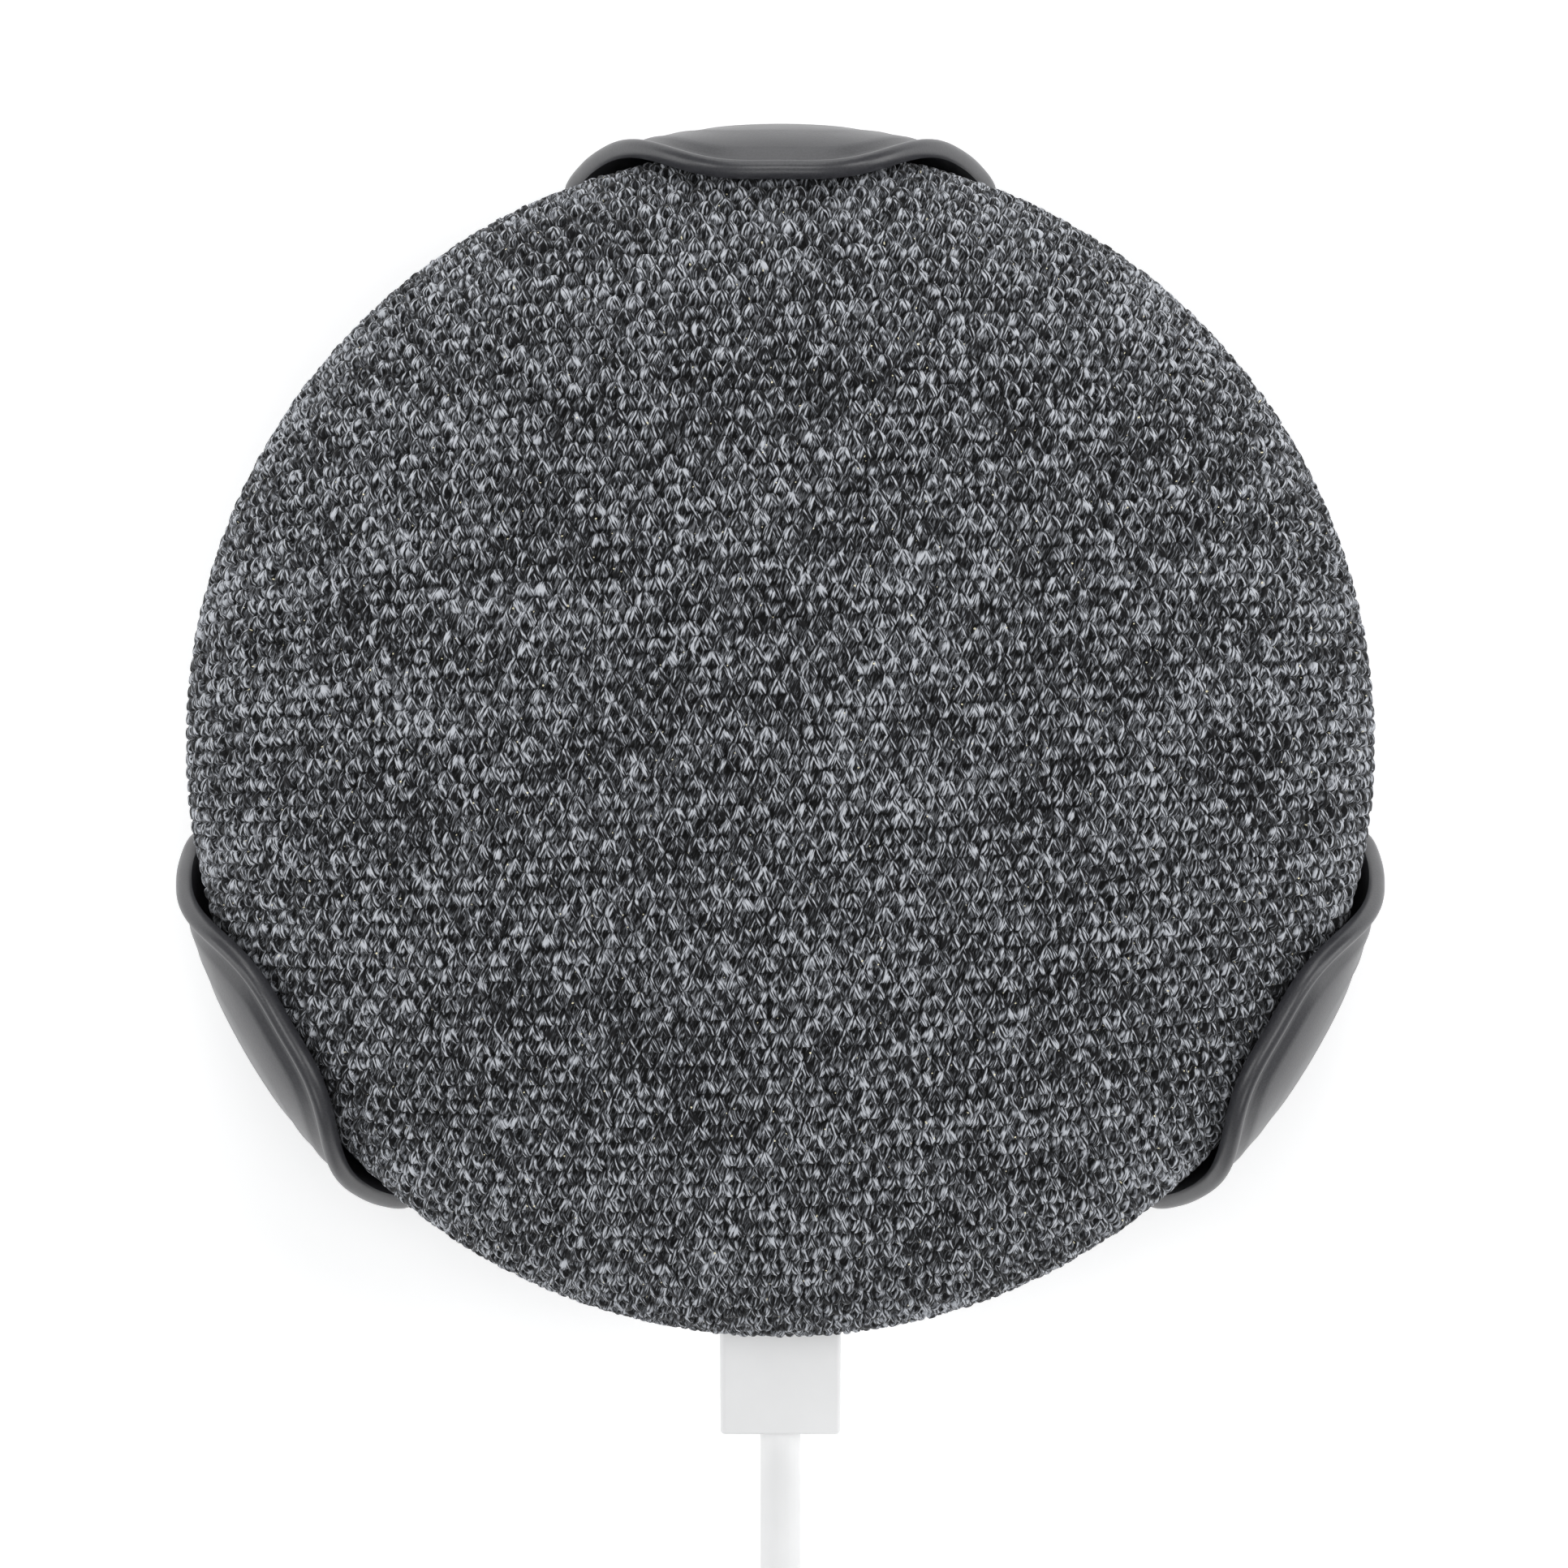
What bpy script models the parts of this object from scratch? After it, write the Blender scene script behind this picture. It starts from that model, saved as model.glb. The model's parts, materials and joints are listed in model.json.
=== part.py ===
"""A puck-shaped smart speaker hub lying in a three-clawed wall mount, with its supply lead and adapter.

Metres, +Z up. The origin is the centre of the mount's rear face, where it meets the wall.
The hub's front faces +Z and its supply lead leaves towards -Y.
"""

import math

import bmesh
import bpy
from mathutils import Matrix, Vector

MM = 0.001
GAP = 0.3 * MM

# The hub's outer skin, heights measured from the hub's own base.
HUB_RADIUS = 49.0 * MM
HUB_HEIGHT = 42.0 * MM
EQUATOR_Z = 20.0 * MM
DOME_POWER = 2.4
FOOT_RADIUS = 34.2 * MM
RIM_Z = 0.4 * MM
BELLY_POWER = 2.2
SEAM_Z = 14.0 * MM
FABRIC = 0.8 * MM
SHELL = 1.8 * MM
HOUSING = 2.0 * MM
SEGMENTS = 36
FINE_SEGMENTS = 72
COARSE_SEGMENTS = 24
SHARP_ANGLE = math.radians(40)

# The wall mount: a pad, a plate and three claws that follow the hub's skin.
PAD = 1.0 * MM
PAD_RADIUS = 29.0 * MM
PLATE = 2.2 * MM
PLATE_RADIUS = 31.0 * MM
HUB_Z = PAD + GAP + PLATE + GAP
CLAW_ANGLES = (90, 210, 330)
CLAW_CLEARANCE = 0.6 * MM
CLAW_WALL = 1.5 * MM
CLAW_TIP_Z = 32.2 * MM
CLAW_HALF_WIDTH = 18.0 * MM
CLAW_SHOULDER_Z = 12.0 * MM
CLAW_CROWN_POWER = 3  # how square the claw's outline is over its tip
ABOVE_TIP = 0.62  # a place on the dome above the tips, from 0 at the equator to 1 at the pole
ARM_HALF_WIDTH = 13.0 * MM
WALL_SCREW_CIRCLE = 22.0 * MM
WALL_SCREW_ANGLES = (30, 150, 270)
WALL_SCREW_RADIUS = 2.1 * MM
COUNTERSINK_RADIUS = 4.2 * MM

# The electronics and the speaker, heights measured from the hub's base.
FLOOR_Z = 3.6 * MM
BOARD_Z = 6.6 * MM
BOARD = 1.2 * MM
BOARD_TOP_Z = BOARD_Z + BOARD
BOARD_RADIUS = 39.5 * MM
PORT_Z = 9.6 * MM
CHAMBER_Z = 12.2 * MM
CHAMBER_TOP_Z = 31.3 * MM
CHAMBER_RADIUS = 30.0 * MM
CHAMBER_WALL = 1.6 * MM
DRIVER_OPENING = 18.5 * MM
DRIVER_SCREW_CIRCLE = 22.6 * MM
DRIVER_SCREW_ANGLES = (30, 150, 270)
CASE_SCREW_CIRCLE = 27.0 * MM
CASE_SCREW_ANGLES = (45, 135, 225, 315)
SWITCH_ANGLE = 292
SWITCH_LEAN = math.radians(21.6)  # the housing's slope at the port's height
SWITCH_TRAVEL = 2.0 * MM
SWITCH_DEPTH = 1.6 * MM
SWITCH_BODY_DEPTH = 4.6 * MM
SLIDER_SIZE = Vector((4.6, 2.6, 3.2)) * MM
SWITCH_BODY_SIZE = Vector((8.6, 2.6, 3.4)) * MM
SWITCH_WINDOW_SIZE = Vector((9.0, 8.0, 3.8)) * MM
PORT_WINDOW_SIZE = Vector((11.0, 16.0, 7.0)) * MM
RESET_RADIUS = 37.5 * MM
SOUND_HOLE_RADIUS = 1.4 * MM
SOUND_HOLE_RINGS = ((10.0 * MM, 6), (19.0 * MM, 12))

# Turned pieces, each a closed section of (radius, height) in millimetres above the hub's base.
FOOT_SECTION = ((0, 0), (33.2, 0), (33.6, 0.4), (33.6, 1.1), (33.2, 1.5), (0, 1.5))
GASKET_SECTION = ((18.8, 31.6), (20.8, 31.6), (20.8, 32.1), (18.8, 32.1))
BASKET_SECTION = (
    (24.5, 32.4),
    (24.5, 33.4),
    (17.7, 33.4),
    (12.1, 24.0),
    (7.7, 24.0),
    (7.7, 22.9),
    (12.9, 22.9),
    (18.1, 32.4),
)
YOKE_SECTION = ((0, 15.4), (9.6, 15.4), (9.6, 22.6), (7.5, 22.6), (7.5, 17.0), (0, 17.0))
MAGNET_SECTION = ((0, 17.3), (5.2, 17.3), (5.2, 20.6), (0, 20.6))
POLE_SECTION = ((0, 20.9), (5.5, 20.9), (5.5, 22.6), (0, 22.6))
CONE_SECTION = ((13.9, 33.2), (13.9, 33.6), (6.6, 29.2), (6.0, 29.2), (6.0, 28.7), (6.7, 28.7))
COIL_SECTION = ((6.0, 19.8), (6.9, 19.8), (6.9, 24.0), (6.4, 24.0), (6.4, 28.4), (6.0, 28.4))
RESET_SECTION = ((0, 5.2), (2.4, 5.2), (2.4, 4.6), (1.5, 4.6), (1.5, 0.8), (1.3, 0.6), (0, 0.6))
SURROUND_MIDDLE, SURROUND_BASE, SURROUND_SKIN, SURROUND_ROLL = 16.0, 33.7, 0.4, 1.5
SURROUND_INNER, SURROUND_OUTER = 14.2, 20.0
DUST_CAP_RADIUS, DUST_CAP_BASE, DUST_CAP_RISE, DUST_CAP_SKIN = 5.6, 29.6, 1.6, 0.4
SPIDER_WAVES, SPIDER_INNER, SPIDER_WIDTH = 7, 7.2, 5.4
SPIDER_BASE, SPIDER_WAVE, SPIDER_SKIN = 26.1, 0.35, 0.3

# Block-shaped pieces: size, then centre above the hub's base, in millimetres, then finish.
BLOCKS = {
    "emi_shield": ((24, 24, 2.5), (0, 2, 9.35), "steel"),
    "soc": ((11, 11, 0.9), (-4, 4, 8.55), "chip"),
    "memory_chip": ((8, 9, 0.8), (6.6, 4, 8.5), "chip"),
    "flash_chip": ((8, 6, 0.8), (-4, -5.6, 8.5), "chip"),
    "thermal_pad": ((18, 18, 1.0), (0, 2, 11.4), "thermal_silicone"),
    "wifi_module": ((10, 12, 1.6), (-20, -6, 8.9), "steel"),
    "antenna_left": ((0.5, 14, 6.0), (-35, 4, 11.1), "copper"),
    "antenna_right": ((0.5, 14, 6.0), (35, 4, 11.1), "copper"),
    "speaker_connector": ((6, 4, 3.0), (33, -9, 9.6), "white_plastic"),
    "tact_switch": ((3.2, 3.2, 0.6), (0, -37.0, 6.0), "steel"),
    "usb_socket": ((8.1, 6.0, 3.0), (0, -35.8, 9.6), "steel"),
    "led_board": ((36, 9, 0.8), (0, 0, 37.1), "board"),
    "light_guide": ((18, 4, 0.5), (0, 0, 38.3), "light_guide"),
    "mic_left": ((4, 3, 1.0), (-35.5, 0, 29.5), "gold"),
    "mic_right": ((4, 3, 1.0), (35.5, 0, 29.5), "gold"),
    "mic_gasket_left": ((5, 5, 1.4), (-35.5, 0, 31.0), "foam_rubber"),
    "mic_gasket_right": ((5, 5, 1.4), (35.5, 0, 31.0), "foam_rubber"),
}
LED_SIZE = Vector((1.2, 1.2, 0.7)) * MM
LED_PLACES = (-7.5, -2.5, 2.5, 7.5)
LED_Z = 37.5
TOUCH_PAD_PLACES = (0.68, 0.60, 0.52)  # on the dome, from 0 at the equator to 1 at the pole
TOUCH_PAD_SWEEP = math.radians(50)
TOUCH_PAD_STEPS = 6
FOIL = 0.2 * MM
RIBBON_WIDTH, RIBBON_THICKNESS = 6.0 * MM, 0.2 * MM
RIBBON_ROUTE = ((4.9, 37.0), (22.0, 36.9), (30.4, 34.6), (31.9, 32.0), (31.9, 12.0), (31.0, 8.3))
WIRE_RADIUS = 0.45 * MM
WIRE_PLACES = {"red": -8.0, "black": -10.0}
WIRE_ROUTE = ((33, 11.7), (32.6, 16), (31.8, 26), (31.0, 31.2), (29.0, 32.6), (25.0, 32.6))

# The supply lead: 1.5 m long, wound into a coil of twelve turns beside its adapter.
CORD_RADIUS = 1.7 * MM
PLUG_SHELL_SIZE = Vector((6.9, 5.1, 1.8)) * MM
PLUG_SHELL_Y = -36.35 * MM
PLUG_WIDTH, PLUG_HEIGHT = 10.3 * MM, 6.2 * MM
PLUG_FRONT_Y = -39.2 * MM
PLUG_BACK_Y = -58.0 * MM
COIL_CENTRE = Vector((-22.4, -102.0, 0.0)) * MM
TURN_PITCH = 3.5 * MM
COIL_OUTER_TURN = 22.4 * MM
COIL_COLUMNS = 3
COIL_LAYERS = 4
COIL_FLOOR = 0.8 * MM
ADAPTER_SIZE = Vector((34.0, 32.0, 27.0)) * MM
ADAPTER_CENTRE = Vector((34.0, -92.5, 13.5)) * MM
RELIEF_Z = 4.4 * MM
RELIEF_Y = -86.6 * MM
RELIEF_LENGTH = 9.0 * MM
RELIEF_RADIUS, RELIEF_ROOT_RADIUS = 1.95 * MM, 3.4 * MM
BLADE_SIZE = Vector((1.5, 16.0, 6.35)) * MM
BLADE_SPREAD = 6.35 * MM
TIE_WIDTH, TIE_BAND = 6.0 * MM, 0.5 * MM

# The lead's free stretches, in millimetres: from the plug to the coil's top layer,
# and from the coil's bottom layer to the adapter's strain relief.
LEAD_ROUTE = (
    (0.0, -58.3, 13.4),
    (0.0, -64.0, 13.4),
    (0.0, -71.0, 13.3),
    (0.0, -78.0, 13.1),
    (0.0, -84.0, 13.0),
    (0.1, -88.6, 13.0),
)
TAIL_ROUTE = (
    (-4.4, -83.7, 2.5),
    (-1.4, -84.6, 2.7),
    (1.6, -85.6, 3.3),
    (4.6, -86.4, 4.1),
    (7.3, -86.6, 4.4),
)

FINISHES = {
    "knit": ((0.10, 0.11, 0.12), 0.95, 0.0),
    "claw_plastic": ((0.035, 0.035, 0.037), 0.42, 0.0),
    "pad_foam": ((0.5, 0.5, 0.5), 0.9, 0.0),
    "housing_plastic": ((0.12, 0.12, 0.13), 0.5, 0.0),
    "shell_plastic": ((0.03, 0.03, 0.03), 0.6, 0.0),
    "silicone": ((0.05, 0.05, 0.055), 0.8, 0.0),
    "board": ((0.02, 0.09, 0.05), 0.5, 0.0),
    "chip": ((0.02, 0.02, 0.02), 0.45, 0.0),
    "steel": ((0.6, 0.6, 0.6), 0.35, 1.0),
    "aluminium": ((0.7, 0.7, 0.72), 0.4, 1.0),
    "copper": ((0.8, 0.45, 0.25), 0.35, 1.0),
    "gold": ((0.9, 0.7, 0.35), 0.3, 1.0),
    "paper": ((0.04, 0.04, 0.04), 0.85, 0.0),
    "foam_rubber": ((0.03, 0.03, 0.03), 0.7, 0.0),
    "light_guide": ((0.9, 0.9, 0.9), 0.3, 0.0),
    "thermal_silicone": ((0.35, 0.5, 0.6), 0.7, 0.0),
    "spider_cloth": ((0.75, 0.5, 0.2), 0.85, 0.0),
    "polyimide": ((0.5, 0.25, 0.05), 0.4, 0.0),
    "white_plastic": ((0.85, 0.85, 0.85), 0.35, 0.0),
    "white_cord": ((0.85, 0.85, 0.85), 0.5, 0.0),
    "black_tie": ((0.03, 0.03, 0.03), 0.7, 0.0),
    "red_wire": ((0.6, 0.03, 0.03), 0.5, 0.0),
    "black_wire": ((0.03, 0.03, 0.03), 0.5, 0.0),
}


# ---------------------------------------------------------------- tools


def start_scene():
    for obj in list(bpy.data.objects):
        bpy.data.objects.remove(obj, do_unlink=True)
    parts = bpy.data.collections.new("smart_home_hub")
    cutters = bpy.data.collections.new("cutters")
    for collection in (parts, cutters):
        bpy.context.scene.collection.children.link(collection)
    return parts, cutters


def finish_of(name):
    """The material of this name, made from its row in FINISHES the first time."""
    if name in bpy.data.materials:
        return bpy.data.materials[name]
    colour, roughness, metallic = FINISHES[name]
    material = bpy.data.materials.new(name)
    material.use_nodes = True
    shader = material.node_tree.nodes["Principled BSDF"]
    shader.inputs["Base Color"].default_value = (*colour, 1.0)
    shader.inputs["Roughness"].default_value = roughness
    shader.inputs["Metallic"].default_value = metallic
    return material


def add_part(name, mesh, finish, at=(0, 0, 0), turn=None, joint=None):
    """A sub-part at a place in world space, held by the empty on its joint's axis if it has one."""
    obj = bpy.data.objects.new(name, mesh)
    obj.matrix_world = Matrix.Translation(at) @ (turn or Matrix())
    mesh.materials.clear()
    mesh.materials.append(finish_of(finish))
    PARTS.objects.link(obj)
    if joint:
        obj.parent = joint
        obj.matrix_parent_inverse = joint.matrix_world.inverted()
    return obj


def add_cutter(name, mesh, at=(0, 0, 0), turn=None):
    obj = bpy.data.objects.new(name, mesh)
    obj.matrix_world = Matrix.Translation(at) @ (turn or Matrix())
    obj.hide_render = True
    obj.display_type = "WIRE"
    CUTTERS.objects.link(obj)
    return obj


def add_axis(name, at, parent=None):
    """An empty on a joint's axis."""
    empty = bpy.data.objects.new(name, None)
    empty.empty_display_size = 5 * MM
    PARTS.objects.link(empty)
    empty.location = at
    bpy.context.view_layer.update()
    if parent:
        empty.parent = parent
        empty.matrix_parent_inverse = parent.matrix_world.inverted()
        bpy.context.view_layer.update()
    return empty


def combine(obj, other, operation):
    modifier = obj.modifiers.new(f"{operation.lower()} {other.name}", "BOOLEAN")
    modifier.operation = operation
    modifier.solver = "EXACT"
    modifier.object = other


def bevel(obj, width, segments=2):
    modifier = obj.modifiers.new("rounded edges", "BEVEL")
    modifier.width = width
    modifier.segments = segments
    modifier.limit_method = "ANGLE"
    modifier.angle_limit = SHARP_ANGLE


def mesh_from(shape):
    mesh = bpy.data.meshes.new("shape")
    shape.to_mesh(mesh)
    shape.free()
    return mesh


def box_mesh(size, *centres):
    """Boxes of one size at the given centres, in one mesh."""
    shape = bmesh.new()
    for centre in centres or (Vector(),):
        place = Matrix.Translation(centre) @ Matrix.Diagonal((*size, 1.0))
        bmesh.ops.create_cube(shape, size=1.0, matrix=place)
    return mesh_from(shape)


def rod_mesh(radius, low, high, sides=16, centres=((0, 0),), top_radius=None):
    """Round upright rods between two heights, one at each centre. The top may have another radius."""
    shape = bmesh.new()
    for x, y in centres:
        bmesh.ops.create_cone(
            shape,
            cap_ends=True,
            segments=sides,
            radius1=radius,
            radius2=radius if top_radius is None else top_radius,
            depth=high - low,
            matrix=Matrix.Translation((x, y, (low + high) / 2)),
        )
    mesh = mesh_from(shape)
    mesh.shade_smooth()
    mesh.set_sharp_from_angle(angle=SHARP_ANGLE)
    return mesh


def outline_mesh(points, closed=True):
    """The edges through these (radius, height) points, as a profile for a Screw modifier."""
    shape = bmesh.new()
    corners = [shape.verts.new((r, 0, z)) for r, z in points]
    for first, second in zip(corners, corners[1:]):
        shape.edges.new((first, second))
    if closed:
        shape.edges.new((corners[-1], corners[0]))
    return mesh_from(shape)


def turn_profile(obj, segments):
    modifier = obj.modifiers.new("turned", "SCREW")
    modifier.axis = "Z"
    modifier.steps = segments
    modifier.render_steps = segments
    modifier.use_merge_vertices = True
    modifier.merge_threshold = 0.01 * MM
    modifier.use_smooth_shade = True


def clockwise(points):
    """The points in the order that runs down the outer side."""
    area = sum(a[0] * b[1] - b[0] * a[1] for a, b in zip(points, [*points[1:], points[0]]))
    return points if area < 0 else points[::-1]


def turned(name, points, finish, segments=SEGMENTS, joint=None, at=(0, 0, 0)):
    """A part turned about Z from its closed section. Two points on the axis leave the section open there."""
    points = clockwise(points)
    on_axis = [i for i, (r, _) in enumerate(points) if r == 0]
    if on_axis:
        last = next(i for i in on_axis if points[(i + 1) % len(points)][0] == 0)
        points = points[last + 1 :] + points[: last + 1]
    obj = add_part(name, outline_mesh(points, closed=not on_axis), finish, at, joint=joint)
    turn_profile(obj, segments)
    return obj


def turned_cutter(name, points, segments, at=(0, 0, 0)):
    """A cutter turned about Z from a section whose first and last points are on the axis."""
    obj = add_cutter(name, outline_mesh(clockwise(points), closed=False), at)
    turn_profile(obj, segments)
    return obj


def flat_outline(points, thickness):
    """A mesh plate with this outline in XY, centred on Z = 0."""
    curve = bpy.data.curves.new("outline", "CURVE")
    curve.dimensions = "2D"
    curve.fill_mode = "BOTH"
    curve.extrude = thickness / 2
    spline = curve.splines.new("POLY")
    spline.points.add(len(points) - 1)
    for point, (x, y) in zip(spline.points, points):
        point.co = (x, y, 0, 1)
    spline.use_cyclic_u = True
    return mesh_of_curve(curve)


def mesh_of_curve(curve):
    """The curve's own surface as a closed mesh, its caps welded on."""
    obj = bpy.data.objects.new("curve", curve)
    bpy.context.scene.collection.objects.link(obj)
    graph = bpy.context.evaluated_depsgraph_get()
    mesh = bpy.data.meshes.new_from_object(obj.evaluated_get(graph))
    bpy.data.objects.remove(obj, do_unlink=True)
    shape = bmesh.new()
    shape.from_mesh(mesh)
    bmesh.ops.remove_doubles(shape, verts=shape.verts, dist=0.001 * MM)
    bmesh.ops.recalc_face_normals(shape, faces=shape.faces)
    shape.to_mesh(mesh)
    shape.free()
    return mesh


def tube(name, points, radius, finish, joint=None, detail=2):
    """A round tube along these points."""
    curve = bpy.data.curves.new(name, "CURVE")
    curve.dimensions = "3D"
    curve.bevel_depth = radius
    curve.bevel_resolution = detail
    curve.use_fill_caps = True
    spline = curve.splines.new("POLY")
    spline.points.add(len(points) - 1)
    for point, place in zip(spline.points, points):
        point.co = (*place, 1)
    return add_part(name, curve, finish, joint=joint)


def smooth_path(points, spacing):
    """Points about this far apart on a smooth curve through the given ones."""
    places = [Vector(point) for point in points]
    ends = [places[0] * 2 - places[1], *places, places[-1] * 2 - places[-2]]
    found = []
    for before, start, end, after in zip(ends, ends[1:], ends[2:], ends[3:]):
        steps = max(1, round((end - start).length / spacing))
        for step in range(steps):
            t = step / steps
            linear = (end - before) * t
            square = (before * 2 - start * 5 + end * 4 - after) * t**2
            cube = (start * 3 - before - end * 3 + after) * t**3
            found.append(start + (linear + square + cube) / 2)
    return [*found, places[-1]]


def lifted(points):
    """Points in millimetres above the hub's base, as world metres."""
    return [(r * MM, HUB_Z + z * MM) for r, z in points]


def round_about(radius, degrees, z=0.0):
    angle = math.radians(degrees)
    return Vector((radius * math.cos(angle), radius * math.sin(angle), z))


# ---------------------------------------------------------------- the hub's skin


def skin_point(t, upper, inward):
    """A point on the skin's section, t from 0 at the equator to 1 at the pole or the foot."""
    power = DOME_POWER if upper else BELLY_POWER
    flat = 0.0 if upper else FOOT_RADIUS
    wide = HUB_RADIUS - flat
    tall = (HUB_HEIGHT - EQUATOR_Z) if upper else (EQUATOR_Z - RIM_Z)
    angle = t * math.pi / 2
    across = max(math.cos(angle), 0.0) ** (2 / power)
    up = math.sin(angle) ** (2 / power)
    normal = Vector((across ** (power - 1) / wide, up ** (power - 1) / tall)).normalized()
    sign = 1 if upper else -1
    r = flat + wide * across - inward * normal.x
    z = EQUATOR_Z + sign * (tall * up - inward * normal.y)
    return (0.0 if upper and t == 1 else r, HUB_Z + z)


def belly_t(z):
    """The lower skin's t at this height above the hub's base."""
    drop = (EQUATOR_Z - z) / (EQUATOR_Z - RIM_Z)
    return math.asin(drop ** (BELLY_POWER / 2)) * 2 / math.pi


def dome_line(inward, steps, to_z):
    """The skin's section from the pole, over the equator and down to a height."""
    upper = [skin_point(1 - i / steps, True, inward) for i in range(steps + 1)]
    lower = [skin_point(t, False, inward) for t in (belly_t(to_z) * i / 3 for i in (1, 2, 3))]
    return [*upper, *lower[:-1], (lower[-1][0], HUB_Z + to_z)]


def belly_line(inward, steps, from_z):
    """The lower skin's section from a height down to the foot."""
    start = belly_t(from_z)
    line = [skin_point(start + (1 - start) * i / steps, False, inward) for i in range(steps + 1)]
    return [(line[0][0], HUB_Z + from_z), *line[1:]]


def make_casing(hub):
    edge = SEAM_Z + GAP / 2
    steps = 7
    outer, inner = dome_line(0, steps, edge), dome_line(FABRIC, steps, edge)
    turned("fabric_cover", outer + inner[::-1], "knit", joint=hub)

    outer = dome_line(FABRIC + GAP, steps, edge)
    inner = dome_line(FABRIC + GAP + SHELL, steps, edge)
    shell = turned("front_shell", outer + inner[::-1], "shell_plastic", joint=hub)
    sound_holes = [
        round_about(radius, 360 * (i + 0.5) / count).xy
        for radius, count in SOUND_HOLE_RINGS
        for i in range(count)
    ]
    holes = rod_mesh(SOUND_HOLE_RADIUS, HUB_Z + 33 * MM, HUB_Z + 44 * MM, 6, sound_holes)
    combine(shell, add_cutter("sound_holes", holes), "DIFFERENCE")

    foot_top = HUB_Z + 1.5 * MM + GAP
    ledge = FOOT_RADIUS - GAP
    outer = belly_line(0, 5, SEAM_Z - GAP / 2)
    inner = belly_line(HOUSING, 5, SEAM_Z - GAP / 2)[:-1]
    floor = HUB_Z + FLOOR_Z
    section = [(0.0, floor), (34 * MM, floor), *inner[::-1], *outer, (ledge, HUB_Z + RIM_Z)]
    section += [(ledge, foot_top), (0.0, foot_top)]
    housing = turned("rear_housing", section, "housing_plastic", joint=hub)

    spots = [round_about(CASE_SCREW_CIRCLE, angle).xy for angle in CASE_SCREW_ANGLES]
    bosses = rod_mesh(3.6 * MM, floor - 0.5 * MM, HUB_Z + BOARD_Z - GAP, 12, spots)
    combine(housing, add_cutter("housing_bosses", bosses), "UNION")
    counterbores = rod_mesh(2.6 * MM, HUB_Z, HUB_Z + 3.4 * MM, 12, spots)
    combine(housing, add_cutter("housing_counterbores", counterbores), "DIFFERENCE")
    shafts = rod_mesh(1.6 * MM, HUB_Z, HUB_Z + 8 * MM, 12, spots)
    combine(housing, add_cutter("housing_screw_holes", shafts), "DIFFERENCE")
    window = box_mesh(PORT_WINDOW_SIZE)
    port = add_cutter("port_window", window, (0, -46 * MM, HUB_Z + PORT_Z))
    combine(housing, port, "DIFFERENCE")
    window = box_mesh(SWITCH_WINDOW_SIZE)
    switch = add_cutter("switch_window", window, switch_place(-1 * MM), switch_turn())
    combine(housing, switch, "DIFFERENCE")
    hole = rod_mesh(1.9 * MM, HUB_Z - 1 * MM, HUB_Z + 4.8 * MM, 12)
    reset = add_cutter("reset_hole", hole, (0, -RESET_RADIUS, 0))
    combine(housing, reset, "DIFFERENCE")

    turned("silicone_foot", lifted(FOOT_SECTION), "silicone", joint=hub)


# ---------------------------------------------------------------- the wall mount


def petal_outline():
    """A claw's outline: a broad crown over its tip, then sides that draw in to the arm."""
    drop = CLAW_TIP_Z - CLAW_SHOULDER_Z
    steps = 18
    crown = []
    for i in range(steps + 1):
        across = 1 - 2 * i / steps
        height = CLAW_TIP_Z - drop * abs(across) ** CLAW_CROWN_POWER
        crown.append((CLAW_HALF_WIDTH * across, HUB_Z + height))
    middle = HUB_Z + CLAW_SHOULDER_Z / 2
    side = (CLAW_HALF_WIDTH + ARM_HALF_WIDTH) / 2 + 0.8 * MM
    left = [(-side, middle), (-ARM_HALF_WIDTH, HUB_Z), (-ARM_HALF_WIDTH, -MM)]
    right = [(-x, z) for x, z in left[::-1]]
    return [*crown, *left, *right]


def claw_line(reach, root):
    """The claws' section from above their tips down to the foot, this far off the hub's skin."""
    over, under = 5, 8
    line = [skin_point(ABOVE_TIP * (1 - i / over), True, -reach) for i in range(over)]
    for i in range(under + 1):
        line.append(skin_point(i / under, False, -reach - (root - reach) * i / under))
    return line


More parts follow.
